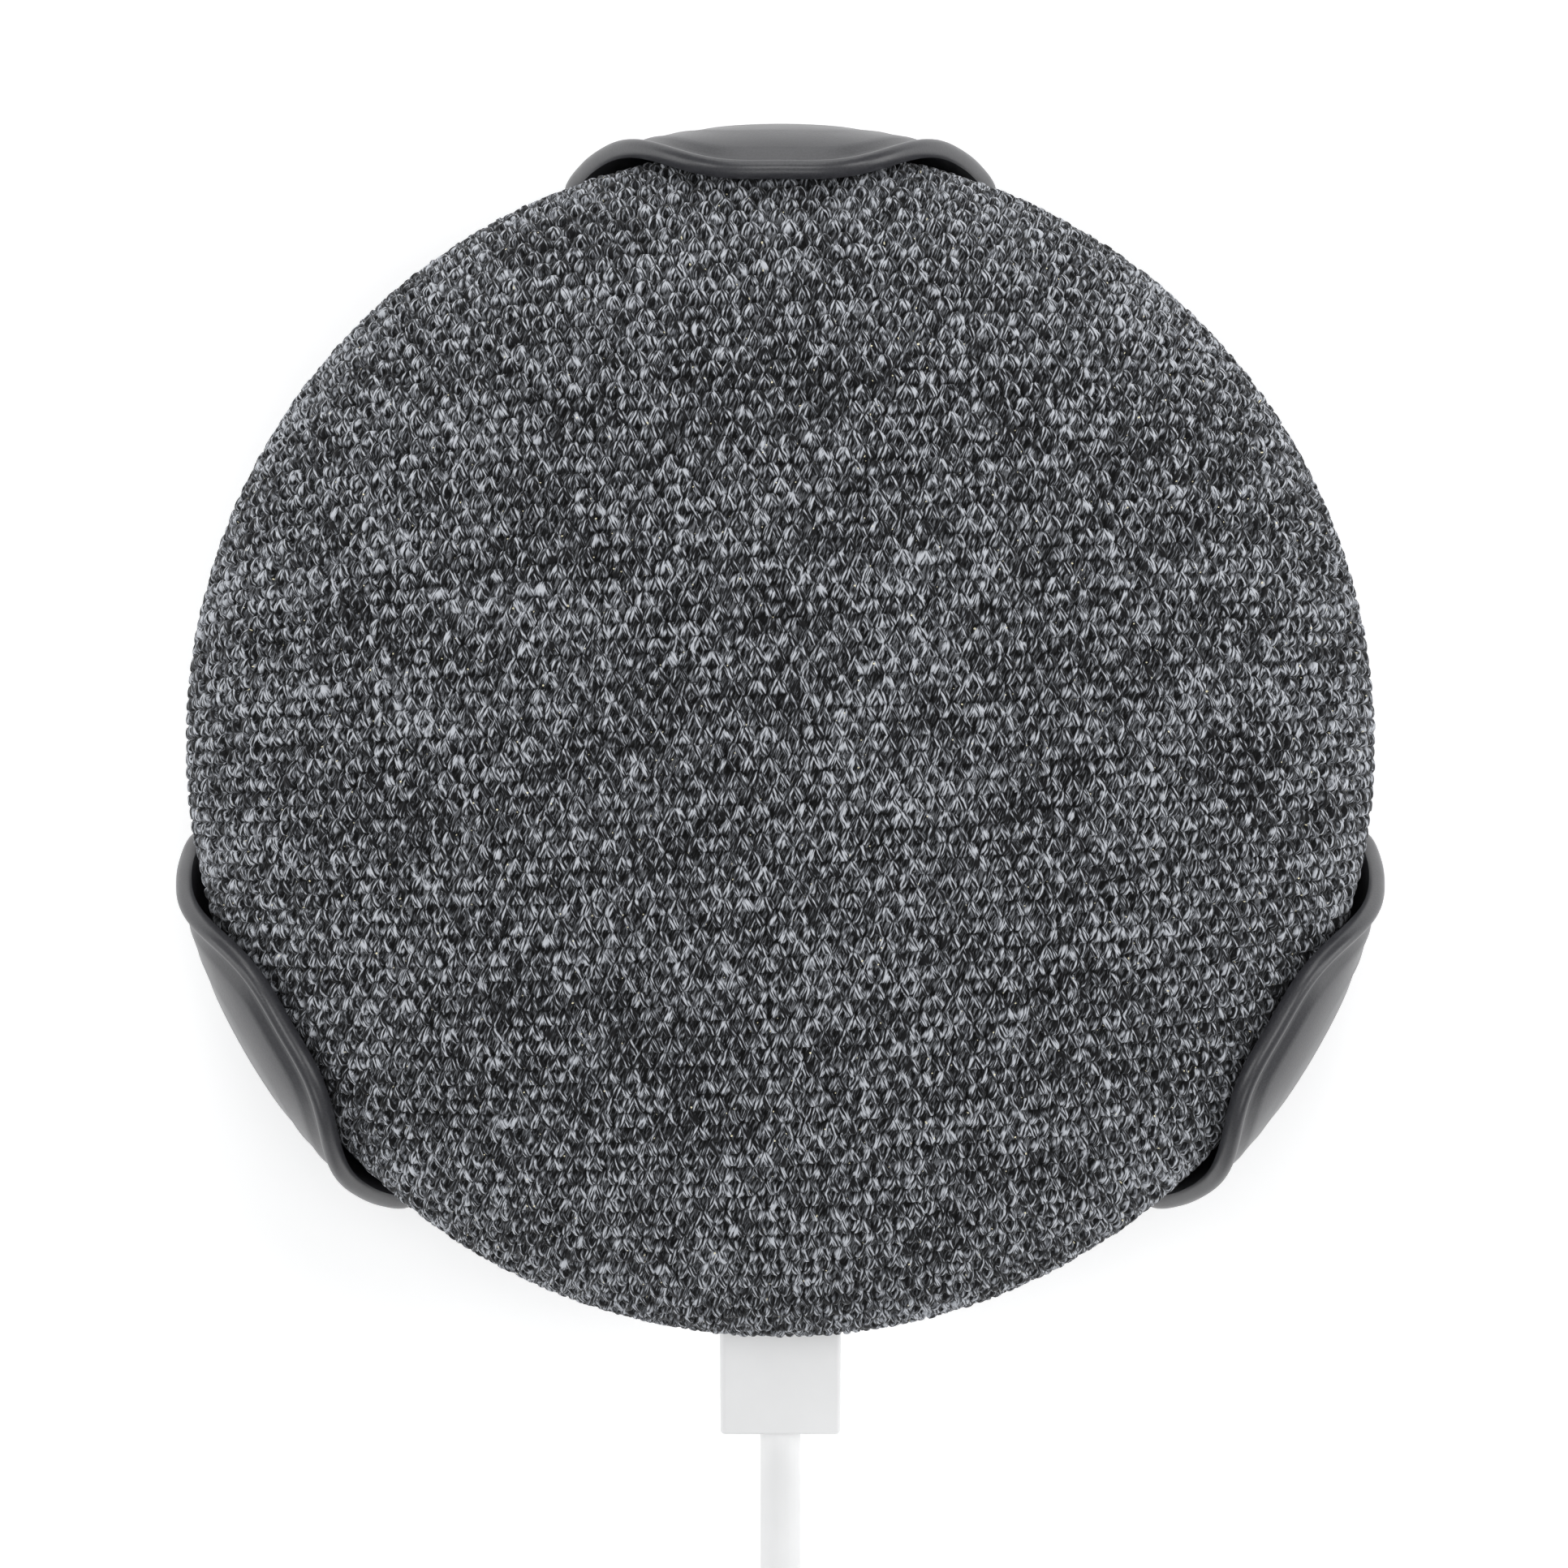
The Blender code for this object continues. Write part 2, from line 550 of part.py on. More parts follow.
def make_mount():
    reach = CLAW_CLEARANCE + CLAW_WALL
    root = RIM_Z + GAP + PLATE  # the wall grows to the plate's thickness at its root
    inner = claw_line(CLAW_CLEARANCE, CLAW_CLEARANCE)
    outer = claw_line(reach, root)
    plate_top, plate_low = PAD + GAP + PLATE, PAD + GAP
    section = [(0.0, plate_top), (FOOT_RADIUS - MM, plate_top), *inner[-2::-1]]
    section += [*outer[:-1], (FOOT_RADIUS, plate_low), (0.0, plate_low)]
    mount = turned("wall_mount", section, "claw_plastic", FINE_SEGMENTS)

    disc = rod_mesh(PLATE_RADIUS, -2 * MM, HUB_Z + 5 * MM, 48)
    keep = add_cutter("mount_outline", disc)
    for angle in CLAW_ANGLES:
        petal = flat_outline(petal_outline(), 44 * MM)
        facing = Matrix.Rotation(math.radians(angle + 90), 4, "Z")
        facing @= Matrix.Rotation(math.pi / 2, 4, "X")
        middle = round_about(40 * MM, angle)
        combine(keep, add_cutter(f"petal_{angle}", petal, middle, facing), "UNION")
    combine(mount, keep, "INTERSECT")

    slope = COUNTERSINK_RADIUS - WALL_SCREW_RADIUS
    section = [
        (0.0, plate_top + MM),
        (COUNTERSINK_RADIUS + MM, plate_top + MM),
        (WALL_SCREW_RADIUS, plate_top - slope),
        (WALL_SCREW_RADIUS, -MM),
        (0.0, -MM),
    ]
    for angle in WALL_SCREW_ANGLES:
        place = round_about(WALL_SCREW_CIRCLE, angle)
        hole = turned_cutter(f"wall_screw_hole_{angle}", section, 16, place)
        combine(mount, hole, "DIFFERENCE")

    section = [(0.0, PAD), (PAD_RADIUS, PAD), (PAD_RADIUS, 0.0), (0.0, 0.0)]
    pad = turned("adhesive_pad", section, "pad_foam")
    spots = [round_about(WALL_SCREW_CIRCLE, angle).xy for angle in WALL_SCREW_ANGLES]
    holes = rod_mesh(COUNTERSINK_RADIUS, -MM, 2 * PAD, 12, spots)
    combine(pad, add_cutter("pad_holes", holes), "DIFFERENCE")


# ---------------------------------------------------------------- the speaker


def make_speaker(hub, cone_axis):
    top, low = CHAMBER_TOP_Z, CHAMBER_Z
    wall, radius = CHAMBER_WALL, CHAMBER_RADIUS
    section = [
        (0.0, low),
        (radius - MM, low),
        (radius, low + MM),
        (radius, top),
        (DRIVER_OPENING, top),
        (DRIVER_OPENING, top - wall),
        (radius - wall, top - wall),
        (radius - wall, low + wall),
        (0.0, low + wall),
    ]
    section = [(r, HUB_Z + z) for r, z in section]
    chamber = turned("speaker_chamber", section, "aluminium", joint=hub)
    spots = [round_about(CASE_SCREW_CIRCLE, angle).xy for angle in CASE_SCREW_ANGLES]
    posts = rod_mesh(2.9 * MM, HUB_Z + BOARD_TOP_Z + GAP, HUB_Z + low + 0.8 * MM, 12, spots)
    combine(chamber, add_cutter("chamber_posts", posts), "UNION")
    bores = rod_mesh(1.55 * MM, HUB_Z + BOARD_TOP_Z, HUB_Z + low + 0.3 * MM, 8, spots)
    combine(chamber, add_cutter("chamber_bores", bores), "DIFFERENCE")

    coarse = COARSE_SEGMENTS
    turned("driver_gasket", lifted(GASKET_SECTION), "foam_rubber", coarse, hub)
    basket = turned("speaker_basket", lifted(BASKET_SECTION), "steel", coarse, hub)
    for name, size in (("x", (40, 7, 5)), ("y", (7, 40, 5))):
        slot = box_mesh(Vector(size) * MM)
        slot = add_cutter(f"basket_slot_{name}", slot, (0, 0, HUB_Z + 28 * MM))
        combine(basket, slot, "DIFFERENCE")

    turned("yoke", lifted(YOKE_SECTION), "steel", coarse, hub)
    turned("magnet", lifted(MAGNET_SECTION), "steel", coarse, hub)
    turned("pole_plate", lifted(POLE_SECTION), "steel", coarse, hub)

    middle, base, skin = SURROUND_MIDDLE, SURROUND_BASE, SURROUND_SKIN
    roll, steps = SURROUND_ROLL, 5
    start, end = SURROUND_INNER, SURROUND_OUTER
    arc = [math.pi * i / steps for i in range(1, steps)]
    over = [(middle - math.cos(a) * roll, base + math.sin(a) * roll) for a in arc]
    thin = roll - skin
    under = [(middle + math.cos(a) * thin, base + math.sin(a) * thin) for a in arc]
    section = [(start, base), (start, base + skin), *over, (end, base + skin), (end, base), *under]
    turned("cone_surround", lifted(section), "foam_rubber", coarse, hub)

    turned("speaker_cone", lifted(CONE_SECTION), "paper", coarse, cone_axis)
    radius, base, rise, skin = DUST_CAP_RADIUS, DUST_CAP_BASE, DUST_CAP_RISE, DUST_CAP_SKIN
    crown = [(radius * math.cos(a), base + rise * math.sin(a)) for a in (0, 0.5, 1.0)]
    crown.append((0, base + rise))
    hollow = [(radius - skin, base)]
    for a in (0.5, 1.0):
        hollow.append(((radius - skin) * math.cos(a), base + (rise - skin) * math.sin(a)))
    hollow.append((0, base + rise - skin))
    turned("dust_cap", lifted([*crown, *hollow[::-1]]), "paper", coarse, cone_axis)
    turned("voice_coil", lifted(COIL_SECTION), "copper", coarse, cone_axis)

    ridge = []
    for i in range(SPIDER_WAVES + 1):
        radius = SPIDER_INNER + SPIDER_WIDTH * i / SPIDER_WAVES
        ridge.append((radius, SPIDER_BASE + SPIDER_WAVE * (-1) ** i))
    section = [*[(r, z + SPIDER_SKIN) for r, z in ridge], *ridge[::-1]]
    turned("spider", lifted(section), "spider_cloth", coarse, hub)

    spots = [round_about(DRIVER_SCREW_CIRCLE, angle) for angle in DRIVER_SCREW_ANGLES]
    for number, spot in enumerate(spots, 1):
        screw(f"driver_screw_{number}", spot, 33.7, 29.2, 1.7, 0.9, 1.2, hub)
    bores = rod_mesh(1.2 * MM, HUB_Z + 29 * MM, HUB_Z + 35 * MM, 8, [spot.xy for spot in spots])
    bores = add_cutter("driver_screw_holes", bores)
    combine(chamber, bores, "DIFFERENCE")
    combine(basket, bores, "DIFFERENCE")


def screw(name, place, seat, tip, head_radius, shank_radius, head, joint, down=True):
    """A pan-head screw along Z, its head on the seat and its tip at the given height, in millimetres."""
    sign = 1 if down else -1
    section = [
        (0, seat + sign * head),
        (head_radius - 0.3, seat + sign * head),
        (head_radius, seat + sign * (head - 0.3)),
        (head_radius, seat),
        (shank_radius, seat),
        (shank_radius, tip + sign * 0.4),
        (shank_radius - 0.4, tip),
        (0, tip),
    ]
    obj = turned(name, lifted(section), "steel", 12, joint, place)
    drive = rod_mesh(head_radius * 0.45 * MM, -0.5 * MM, 0.5 * MM, 6)
    top = Vector((place.x, place.y, HUB_Z + (seat + sign * head) * MM))
    combine(obj, add_cutter(f"{name}_drive", drive, top), "DIFFERENCE")


# ---------------------------------------------------------------- boards and small parts


def block(name, joint):
    """One of the block-shaped pieces, on its joint."""
    size, centre, finish = BLOCKS[name]
    at = Vector(centre) * MM + Vector((0, 0, HUB_Z))
    return add_part(name, box_mesh(Vector(size) * MM), finish, at, joint=joint)


def make_electronics(hub):
    disc = rod_mesh(BOARD_RADIUS, HUB_Z + BOARD_Z, HUB_Z + BOARD_TOP_Z, SEGMENTS)
    board = add_part("main_board", disc, "board", joint=hub)
    spots = [round_about(CASE_SCREW_CIRCLE, angle).xy for angle in CASE_SCREW_ANGLES]
    holes = rod_mesh(1.7 * MM, HUB_Z + 5 * MM, HUB_Z + 9 * MM, 8, spots)
    combine(board, add_cutter("board_holes", holes), "DIFFERENCE")
    notch = box_mesh(Vector((12.0, 6.0, 4.0)) * MM)
    notch = add_cutter("board_notch", notch, (0, -41.6 * MM, HUB_Z + BOARD_Z))
    combine(board, notch, "DIFFERENCE")

    blocks = {name: block(name, hub) for name in BLOCKS}
    inside = box_mesh(Vector((23.2, 23.2, 2.5)) * MM)
    inside = add_cutter("shield_inside", inside, (0, 2 * MM, HUB_Z + 8.95 * MM))
    combine(blocks["emi_shield"], inside, "DIFFERENCE")
    mouth = box_mesh(Vector((7.5, 5.8, 2.4)) * MM)
    mouth = add_cutter("socket_mouth", mouth, (0, -36.4 * MM, HUB_Z + PORT_Z))
    combine(blocks["usb_socket"], mouth, "DIFFERENCE")
    leds = [Vector((x * MM, 0, HUB_Z + LED_Z * MM)) for x in LED_PLACES]
    leds = add_cutter("leds", box_mesh(LED_SIZE, *leds))
    combine(blocks["led_board"], leds, "UNION")
    touch_pad("touch_pad_left", math.pi, hub)
    touch_pad("touch_pad_right", 0.0, hub)
    ribbon(hub)
    for colour, y in WIRE_PLACES.items():
        route = [Vector((x, y, z)) * MM + Vector((0, 0, HUB_Z)) for x, z in WIRE_ROUTE]
        name = f"speaker_wire_{colour}"
        tube(name, smooth_path(route, 4 * MM), WIRE_RADIUS, f"{colour}_wire", hub, detail=0)


def touch_pad(name, middle, hub):
    """A foil patch that follows the inside of the dome, centred on one side of the hub."""
    inward = FABRIC + GAP + SHELL + GAP
    line = [skin_point(t, True, inward) for t in TOUCH_PAD_PLACES]
    line += [skin_point(t, True, inward + FOIL) for t in TOUCH_PAD_PLACES[::-1]]
    shape = bmesh.new()
    shape.faces.new([shape.verts.new((r, 0, z)) for r, z in line])
    section = shape.verts[:] + shape.edges[:] + shape.faces[:]
    steps, sweep = TOUCH_PAD_STEPS, TOUCH_PAD_SWEEP
    bmesh.ops.spin(shape, geom=section, axis=(0, 0, 1), angle=sweep, steps=steps)
    bmesh.ops.recalc_face_normals(shape, faces=shape.faces)
    turn = Matrix.Rotation(middle - sweep / 2, 4, "Z")
    add_part(name, mesh_from(shape), "copper", turn=turn, joint=hub)


def ribbon(hub):
    """The flat cable from the light board down to the main board, in the plane X = 0."""
    route = [Vector((0, y, z)) * MM + Vector((0, 0, HUB_Z)) for y, z in RIBBON_ROUTE]
    route = smooth_path(route, 4 * MM)
    shape = bmesh.new()
    sides = (Vector((-RIBBON_WIDTH / 2, 0, 0)), Vector((RIBBON_WIDTH / 2, 0, 0)))
    rows = [[shape.verts.new(point + side) for side in sides] for point in route]
    for (a, b), (c, d) in zip(rows, rows[1:]):
        shape.faces.new((a, b, d, c))
    obj = add_part("led_ribbon", mesh_from(shape), "polyimide", joint=hub)
    modifier = obj.modifiers.new("thickness", "SOLIDIFY")
    modifier.thickness = RIBBON_THICKNESS
    modifier.offset = 0


# ---------------------------------------------------------------- controls


def switch_turn():
    """The switch's frame: Y points out of the housing, X along its slide."""
    spin = Matrix.Rotation(math.radians(SWITCH_ANGLE - 90), 4, "Z")
    return spin @ Matrix.Rotation(-SWITCH_LEAN, 4, "X")


def switch_place(inward):
    """A point on the line out through the switch, from the housing's outer skin inwards."""
    skin = skin_point(belly_t(PORT_Z), False, 0)
    surface = round_about(skin[0], SWITCH_ANGLE, skin[1])
    outwards = switch_turn().to_3x3() @ Vector((0, 1, 0))
    return surface - outwards * inward


def make_controls(hub, switch_axis, button_axis):
    turn = switch_turn()
    back = turn.to_3x3() @ Vector((-SWITCH_TRAVEL / 2, 0, 0))
    place = switch_place(SWITCH_DEPTH) + back
    slider = box_mesh(SLIDER_SIZE)
    slider = add_part("mic_switch_slider", slider, "white_plastic", place, turn, switch_axis)
    bevel(slider, 0.3 * MM, 1)
    body, place = box_mesh(SWITCH_BODY_SIZE), switch_place(SWITCH_BODY_DEPTH)
    add_part("mic_switch_body", body, "steel", place, turn, hub)

    place = Vector((0, -RESET_RADIUS, 0))
    turned("reset_button", lifted(RESET_SECTION), "housing_plastic", 16, button_axis, place)
    for number, angle in enumerate(CASE_SCREW_ANGLES, 1):
        spot = round_about(CASE_SCREW_CIRCLE, angle)
        screw(f"case_screw_{number}", spot, 3.1, 11.6, 2.2, 1.2, 1.2, hub, down=False)


# ---------------------------------------------------------------- the supply lead


def make_lead(hub):
    port = HUB_Z + PORT_Z
    shell = box_mesh(PLUG_SHELL_SIZE)
    shell = add_part("usb_plug_shell", shell, "steel", (0, PLUG_SHELL_Y, port), joint=hub)
    bevel(shell, 0.3 * MM, 1)

    length = PLUG_FRONT_Y - PLUG_BACK_Y
    overmould = box_mesh(Vector((PLUG_WIDTH, length, PLUG_HEIGHT)))
    for corner in overmould.vertices:
        if corner.co.y < 0:
            corner.co.x *= 0.98
            corner.co.z *= 0.9
    middle = (0, (PLUG_FRONT_Y + PLUG_BACK_Y) / 2, port)
    bevel(add_part("usb_plug", overmould, "white_plastic", middle, joint=hub), 0.45 * MM)

    lead = smooth_path([Vector(p) * MM for p in LEAD_ROUTE], 7 * MM)
    tube("power_cord_lead", lead, CORD_RADIUS, "white_cord", hub)
    tail = smooth_path([Vector(p) * MM for p in TAIL_ROUTE], 6 * MM)
    tube("power_cord_tail", tail, CORD_RADIUS, "white_cord", hub)

    outer = COIL_OUTER_TURN + CORD_RADIUS
    inner = COIL_OUTER_TURN - (COIL_COLUMNS - 1) * TURN_PITCH - CORD_RADIUS
    top = COIL_FLOOR + (COIL_LAYERS - 1) * TURN_PITCH + 2 * CORD_RADIUS
    soft = 1.2 * MM
    section = []
    for r, z, dr, dz in (
        (inner, COIL_FLOOR, 1, 1),
        (outer, COIL_FLOOR, -1, 1),
        (outer, top, -1, -1),
        (inner, top, 1, -1),
    ):
        corner = [(r + dr * soft, z), (r, z + dz * soft)]
        section += corner if dr * dz < 0 else corner[::-1]
    turned("cord_coil", section, "white_cord", 40, hub, COIL_CENTRE)

    band, width = TIE_BAND, TIE_WIDTH
    bow = inner - math.sqrt(inner**2 - (width / 2) ** 2)
    near, far = inner - bow - GAP, outer + GAP
    hole = Vector((2 * width, far - near, top - COIL_FLOOR + 2 * GAP))
    wide = Vector((width, hole.y + 2 * band, hole.z + 2 * band))
    spot = COIL_CENTRE + Vector((0, -(near + far) / 2, (top + COIL_FLOOR) / 2))
    tie = add_part("cord_tie", box_mesh(wide), "black_tie", spot, joint=hub)
    combine(tie, add_cutter("tie_hole", box_mesh(hole), spot), "DIFFERENCE")

    adapter = box_mesh(ADAPTER_SIZE)
    adapter = add_part("power_adapter", adapter, "white_plastic", ADAPTER_CENTRE, joint=hub)
    bevel(adapter, 3.0 * MM, 3)
    face = ADAPTER_CENTRE.x - ADAPTER_SIZE.x / 2 - GAP
    relief = rod_mesh(RELIEF_RADIUS, 0, RELIEF_LENGTH, 16, top_radius=RELIEF_ROOT_RADIUS)
    turn = Matrix.Rotation(math.pi / 2, 4, "Y")
    place = (face - RELIEF_LENGTH, RELIEF_Y, RELIEF_Z)
    add_part("strain_relief", relief, "white_plastic", place, turn, hub)
    back = ADAPTER_CENTRE.y - ADAPTER_SIZE.y / 2 - GAP
    for name, side in (("left", -1), ("right", 1)):
        blade = box_mesh(BLADE_SIZE)
        at = (ADAPTER_CENTRE.x + side * BLADE_SPREAD, back - BLADE_SIZE.y / 2, ADAPTER_CENTRE.z)
        blade = add_part(f"adapter_blade_{name}", blade, "steel", at, joint=hub)
        bevel(blade, 0.4 * MM, 1)


PARTS, CUTTERS = start_scene()


def main():
    hub = add_axis("hub_twist_axis", (0, 0, 0))
    cone = add_axis("cone_travel_axis", (0, 0, HUB_Z + 28 * MM), hub)
    switch = add_axis("mic_switch_axis", switch_place(SWITCH_DEPTH), hub)
    button = add_axis("reset_button_axis", (0, -RESET_RADIUS, HUB_Z), hub)
    make_mount()
    make_casing(hub)
    make_speaker(hub, cone)
    make_electronics(hub)
    make_controls(hub, switch, button)
    make_lead(hub)


main()
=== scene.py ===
import json
import math

import bmesh
import bpy
import numpy as np
from mathutils import Matrix, Vector


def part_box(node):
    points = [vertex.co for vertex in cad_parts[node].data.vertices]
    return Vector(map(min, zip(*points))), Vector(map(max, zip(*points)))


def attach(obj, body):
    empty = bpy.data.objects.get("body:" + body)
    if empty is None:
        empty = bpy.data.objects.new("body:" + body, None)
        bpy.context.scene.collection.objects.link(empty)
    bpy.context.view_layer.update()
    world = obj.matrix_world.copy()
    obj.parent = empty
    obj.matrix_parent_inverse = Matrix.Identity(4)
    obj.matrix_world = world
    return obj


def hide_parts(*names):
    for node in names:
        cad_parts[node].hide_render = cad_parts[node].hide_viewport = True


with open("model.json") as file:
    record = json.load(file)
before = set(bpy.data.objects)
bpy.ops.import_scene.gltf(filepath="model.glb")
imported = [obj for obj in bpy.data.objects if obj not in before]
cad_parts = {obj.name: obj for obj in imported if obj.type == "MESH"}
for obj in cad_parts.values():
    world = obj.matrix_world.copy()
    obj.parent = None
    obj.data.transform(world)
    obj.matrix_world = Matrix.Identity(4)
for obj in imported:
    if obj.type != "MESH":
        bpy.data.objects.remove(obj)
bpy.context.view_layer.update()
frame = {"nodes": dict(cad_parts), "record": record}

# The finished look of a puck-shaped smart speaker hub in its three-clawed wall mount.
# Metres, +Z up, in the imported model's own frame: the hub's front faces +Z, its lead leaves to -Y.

MM = 0.001
GAP = 0.3 * MM
SEED = 7
FLOOR_SIDE = 3.0
FINE = 144
SHARP_ANGLE = math.radians(35)

# The hub's skin and mount, as in the CAD. Heights are measured from the hub's own base at HUB_Z.
HUB_Z = 3.8 * MM
HUB_RADIUS = 49.0 * MM
HUB_HEIGHT = 42.0 * MM
EQUATOR_Z = 20.0 * MM
DOME_POWER = 2.4
FOOT_RADIUS = 34.2 * MM
RIM_Z = 0.4 * MM
BELLY_POWER = 2.2
SEAM_Z = 14.0 * MM
FABRIC = 0.8 * MM
HOUSING = 2.0 * MM
FLOOR_Z = 3.6 * MM
PORT_Z = 9.6 * MM
CASE_SCREW_CIRCLE = 27.0 * MM
CASE_SCREW_ANGLES = (45, 135, 225, 315)
SWITCH_ANGLE = 292
SWITCH_LEAN = math.radians(21.6)
RESET_RADIUS = 37.5 * MM
PAD = 1.0 * MM
PLATE_LOW = PAD + GAP
PLATE_TOP = PLATE_LOW + 2.2 * MM
PLATE_RADIUS = 31.0 * MM
WALL_SCREW_CIRCLE = 22.0 * MM
WALL_SCREW_ANGLES = (30, 150, 270)
WALL_SCREW_RADIUS = 2.1 * MM
COUNTERSINK_RADIUS = 4.2 * MM
CLAW_ANGLES = (90, 210, 330)
CLAW_TIP_Z = 31.3 * MM
CLAW_CROWN_POWER = 3
CLAW_HALF_WIDTH = 18.0 * MM
CLAW_SHOULDER_Z = 12.0 * MM

# The supply lead's route, as in the CAD: a straight stretch, twelve turns and a tail.
CORD_RADIUS = 1.7 * MM
COIL_CENTRE = Vector((-22.4, -102.0, 0.0)) * MM
TURN_PITCH = 3.5 * MM
COIL_OUTER_TURN = 22.4 * MM
COIL_COLUMNS = 3
COIL_LAYERS = 4
COIL_FLOOR = 0.8 * MM
LEAD_ROUTE = (
    (0.0, -57.4, 13.4),
    (0.0, -64.0, 13.4),
    (0.0, -71.0, 13.3),
    (0.0, -78.0, 13.1),
    (0.0, -84.0, 13.0),
    (0.0, -88.6, 13.0),
    (0.0, -95.0, 13.0),
    (0.0, -102.0, 13.0),
)
TAIL_ROUTE = (
    (-16.6, -80.4, 2.5),
    (-10.5, -82.1, 2.5),
    (-4.4, -83.7, 2.5),
    (-1.4, -84.6, 2.7),
    (1.6, -85.6, 3.3),
    (4.6, -86.4, 4.1),
    (7.3, -86.6, 4.4),
    (10.0, -86.6, 4.4),
)


# ---------------------------------------------------------------- camera, floor and light


def make_camera():
    """Straight above the hub, near enough to show a width of 129.6 mm at the hub's equator."""
    distance, width = 480 * MM, 129.6 * MM
    aside, below = 0.3 * MM, 3.4 * MM
    data = bpy.data.cameras.new("camera")
    data.sensor_width = 36
    data.lens = data.sensor_width * distance / width
    camera = bpy.data.objects.new("camera", data)
    camera.location = (aside, -below, HUB_Z + EQUATOR_Z + distance)
    bpy.context.scene.collection.objects.link(camera)
    bpy.context.scene.camera = camera


def make_stage():
    shape = bmesh.new()
    bmesh.ops.create_grid(shape, x_segments=1, y_segments=1, size=FLOOR_SIDE / 2)
    floor = new_piece("floor", mesh_from(shape), None, "floor")
    floor.location.z = -0.05 * MM

    world = bpy.data.worlds.new("studio")
    bpy.context.scene.world = world
    world.use_nodes = True
    background = world.node_tree.nodes["Background"]
    background.inputs["Color"].default_value = (0.97, 0.985, 1.0, 1.0)
    background.inputs["Strength"].default_value = 0.33

    for name, place, size, power in (
        ("top", (0.0, 0.0, 1.3), 0.6, 3.3),
        ("right", (0.80, 0.10, 0.74), 0.5, 2.0),
        ("left", (-0.78, 0.0, 0.76), 0.5, 1.6),
        ("back", (0.0, 0.78, 0.76), 0.5, 1.8),
        ("front", (0.0, -0.78, 0.76), 0.5, 1.2),
        ("right_wall", (0.8, 0.0, 0.16), 0.5, 1.6),
        ("left_wall", (-0.8, 0.0, 0.16), 0.5, 1.2),
        ("back_wall", (0.0, 0.8, 0.16), 0.5, 1.2),
    ):
        data = bpy.data.lights.new(name, "AREA")
        data.shape = "DISK"
        data.size = size
        data.energy = power
        light = bpy.data.objects.new(name, data)
        light.location = place
        light.rotation_mode = "QUATERNION"
        light.rotation_quaternion = Vector(place).to_track_quat("Z", "Y")
        bpy.context.scene.collection.objects.link(light)
    bpy.context.scene.view_settings.view_transform = "Standard"


# ---------------------------------------------------------------- meshes


def new_piece(name, data, body, slot, *replaces, smooth=True):
    """A piece that rides on a body and stands for CAD nodes. A stage object has no body."""
    piece = bpy.data.objects.new(name, data)
    bpy.context.scene.collection.objects.link(piece)
    data.materials.clear()
    data.materials.append(finish_of(slot))
    if smooth and isinstance(data, bpy.types.Mesh):
        data.shade_smooth()
        data.set_sharp_from_angle(angle=SHARP_ANGLE)
    if body:
        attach(piece, body)
        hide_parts(*replaces)
    return piece


def mesh_from(shape):
    mesh = bpy.data.meshes.new("shape")
    shape.to_mesh(mesh)
    shape.free()
    return mesh


def mesh_of_grid(rings, round_again=False):
    """A mesh over closed rings of points, joined ring to ring. Its ends are capped or meet."""
    shape = bmesh.new()
    loops = [[shape.verts.new(point) for point in ring] for ring in rings]
    pairs = list(zip(loops, loops[1:]))
    if round_again:
        pairs.append((loops[-1], loops[0]))
    for first, second in pairs:
        for i in range(len(first)):
            j = (i + 1) % len(first)
            shape.faces.new((first[i], first[j], second[j], second[i]))
    if not round_again:
        shape.faces.new(loops[0][::-1])
        shape.faces.new(loops[-1])
    bmesh.ops.recalc_face_normals(shape, faces=shape.faces)
    return mesh_from(shape)


def turned_mesh(section, segments):
    """A solid turned about Z from (radius, height) points. Points on the axis become poles."""
    shape = bmesh.new()
    loops = []
    for r, z in section:
        if r < 0.001 * MM:
            loops.append([shape.verts.new((0, 0, z))])
            continue
        turns = [2 * math.pi * i / segments for i in range(segments)]
        loops.append([shape.verts.new((r * math.cos(a), r * math.sin(a), z)) for a in turns])
    for first, second in zip(loops, loops[1:]):
        if len(first) == len(second) == 1:
            continue
        for i in range(segments):
            j = (i + 1) % segments
            if len(first) == 1:
                shape.faces.new((first[0], second[j], second[i]))
            elif len(second) == 1:
                shape.faces.new((first[i], first[j], second[0]))
            else:
                shape.faces.new((first[i], first[j], second[j], second[i]))
    bmesh.ops.recalc_face_normals(shape, faces=shape.faces)
    return mesh_from(shape)


def rounded_section(points, radius, steps=4):
    """The closed outline of (x, y) points with its corners rounded."""
    found = []
    for i, corner in enumerate(points):
        corner = Vector(corner)
        before = Vector(points[i - 1]) - corner
        after = Vector(points[(i + 1) % len(points)]) - corner
        reach = min(radius, before.length * 0.45, after.length * 0.45)
        start, end = corner + before.normalized() * reach, corner + after.normalized() * reach
        for step in range(steps + 1):
            t = step / steps
            found.append(tuple(start * (1 - t) ** 2 + corner * 2 * t * (1 - t) + end * t**2))
    return found


def rounded_rectangle(width, height, radius, steps=6):
    x, y = width / 2, height / 2
    return rounded_section(((-x, -y), (x, -y), (x, y), (-x, y)), radius, steps)


def edge_rows(face, edge, steps):
    """Rows of place and inset that round an edge off, from its face inwards. Negative steps down."""
    rows = []
    for i in range(steps + 1):
        angle = math.pi / 2 * (1 - i / steps)
        rows.append((face + edge * (1 - math.sin(angle)), abs(edge) * (1 - math.cos(angle))))
    return rows


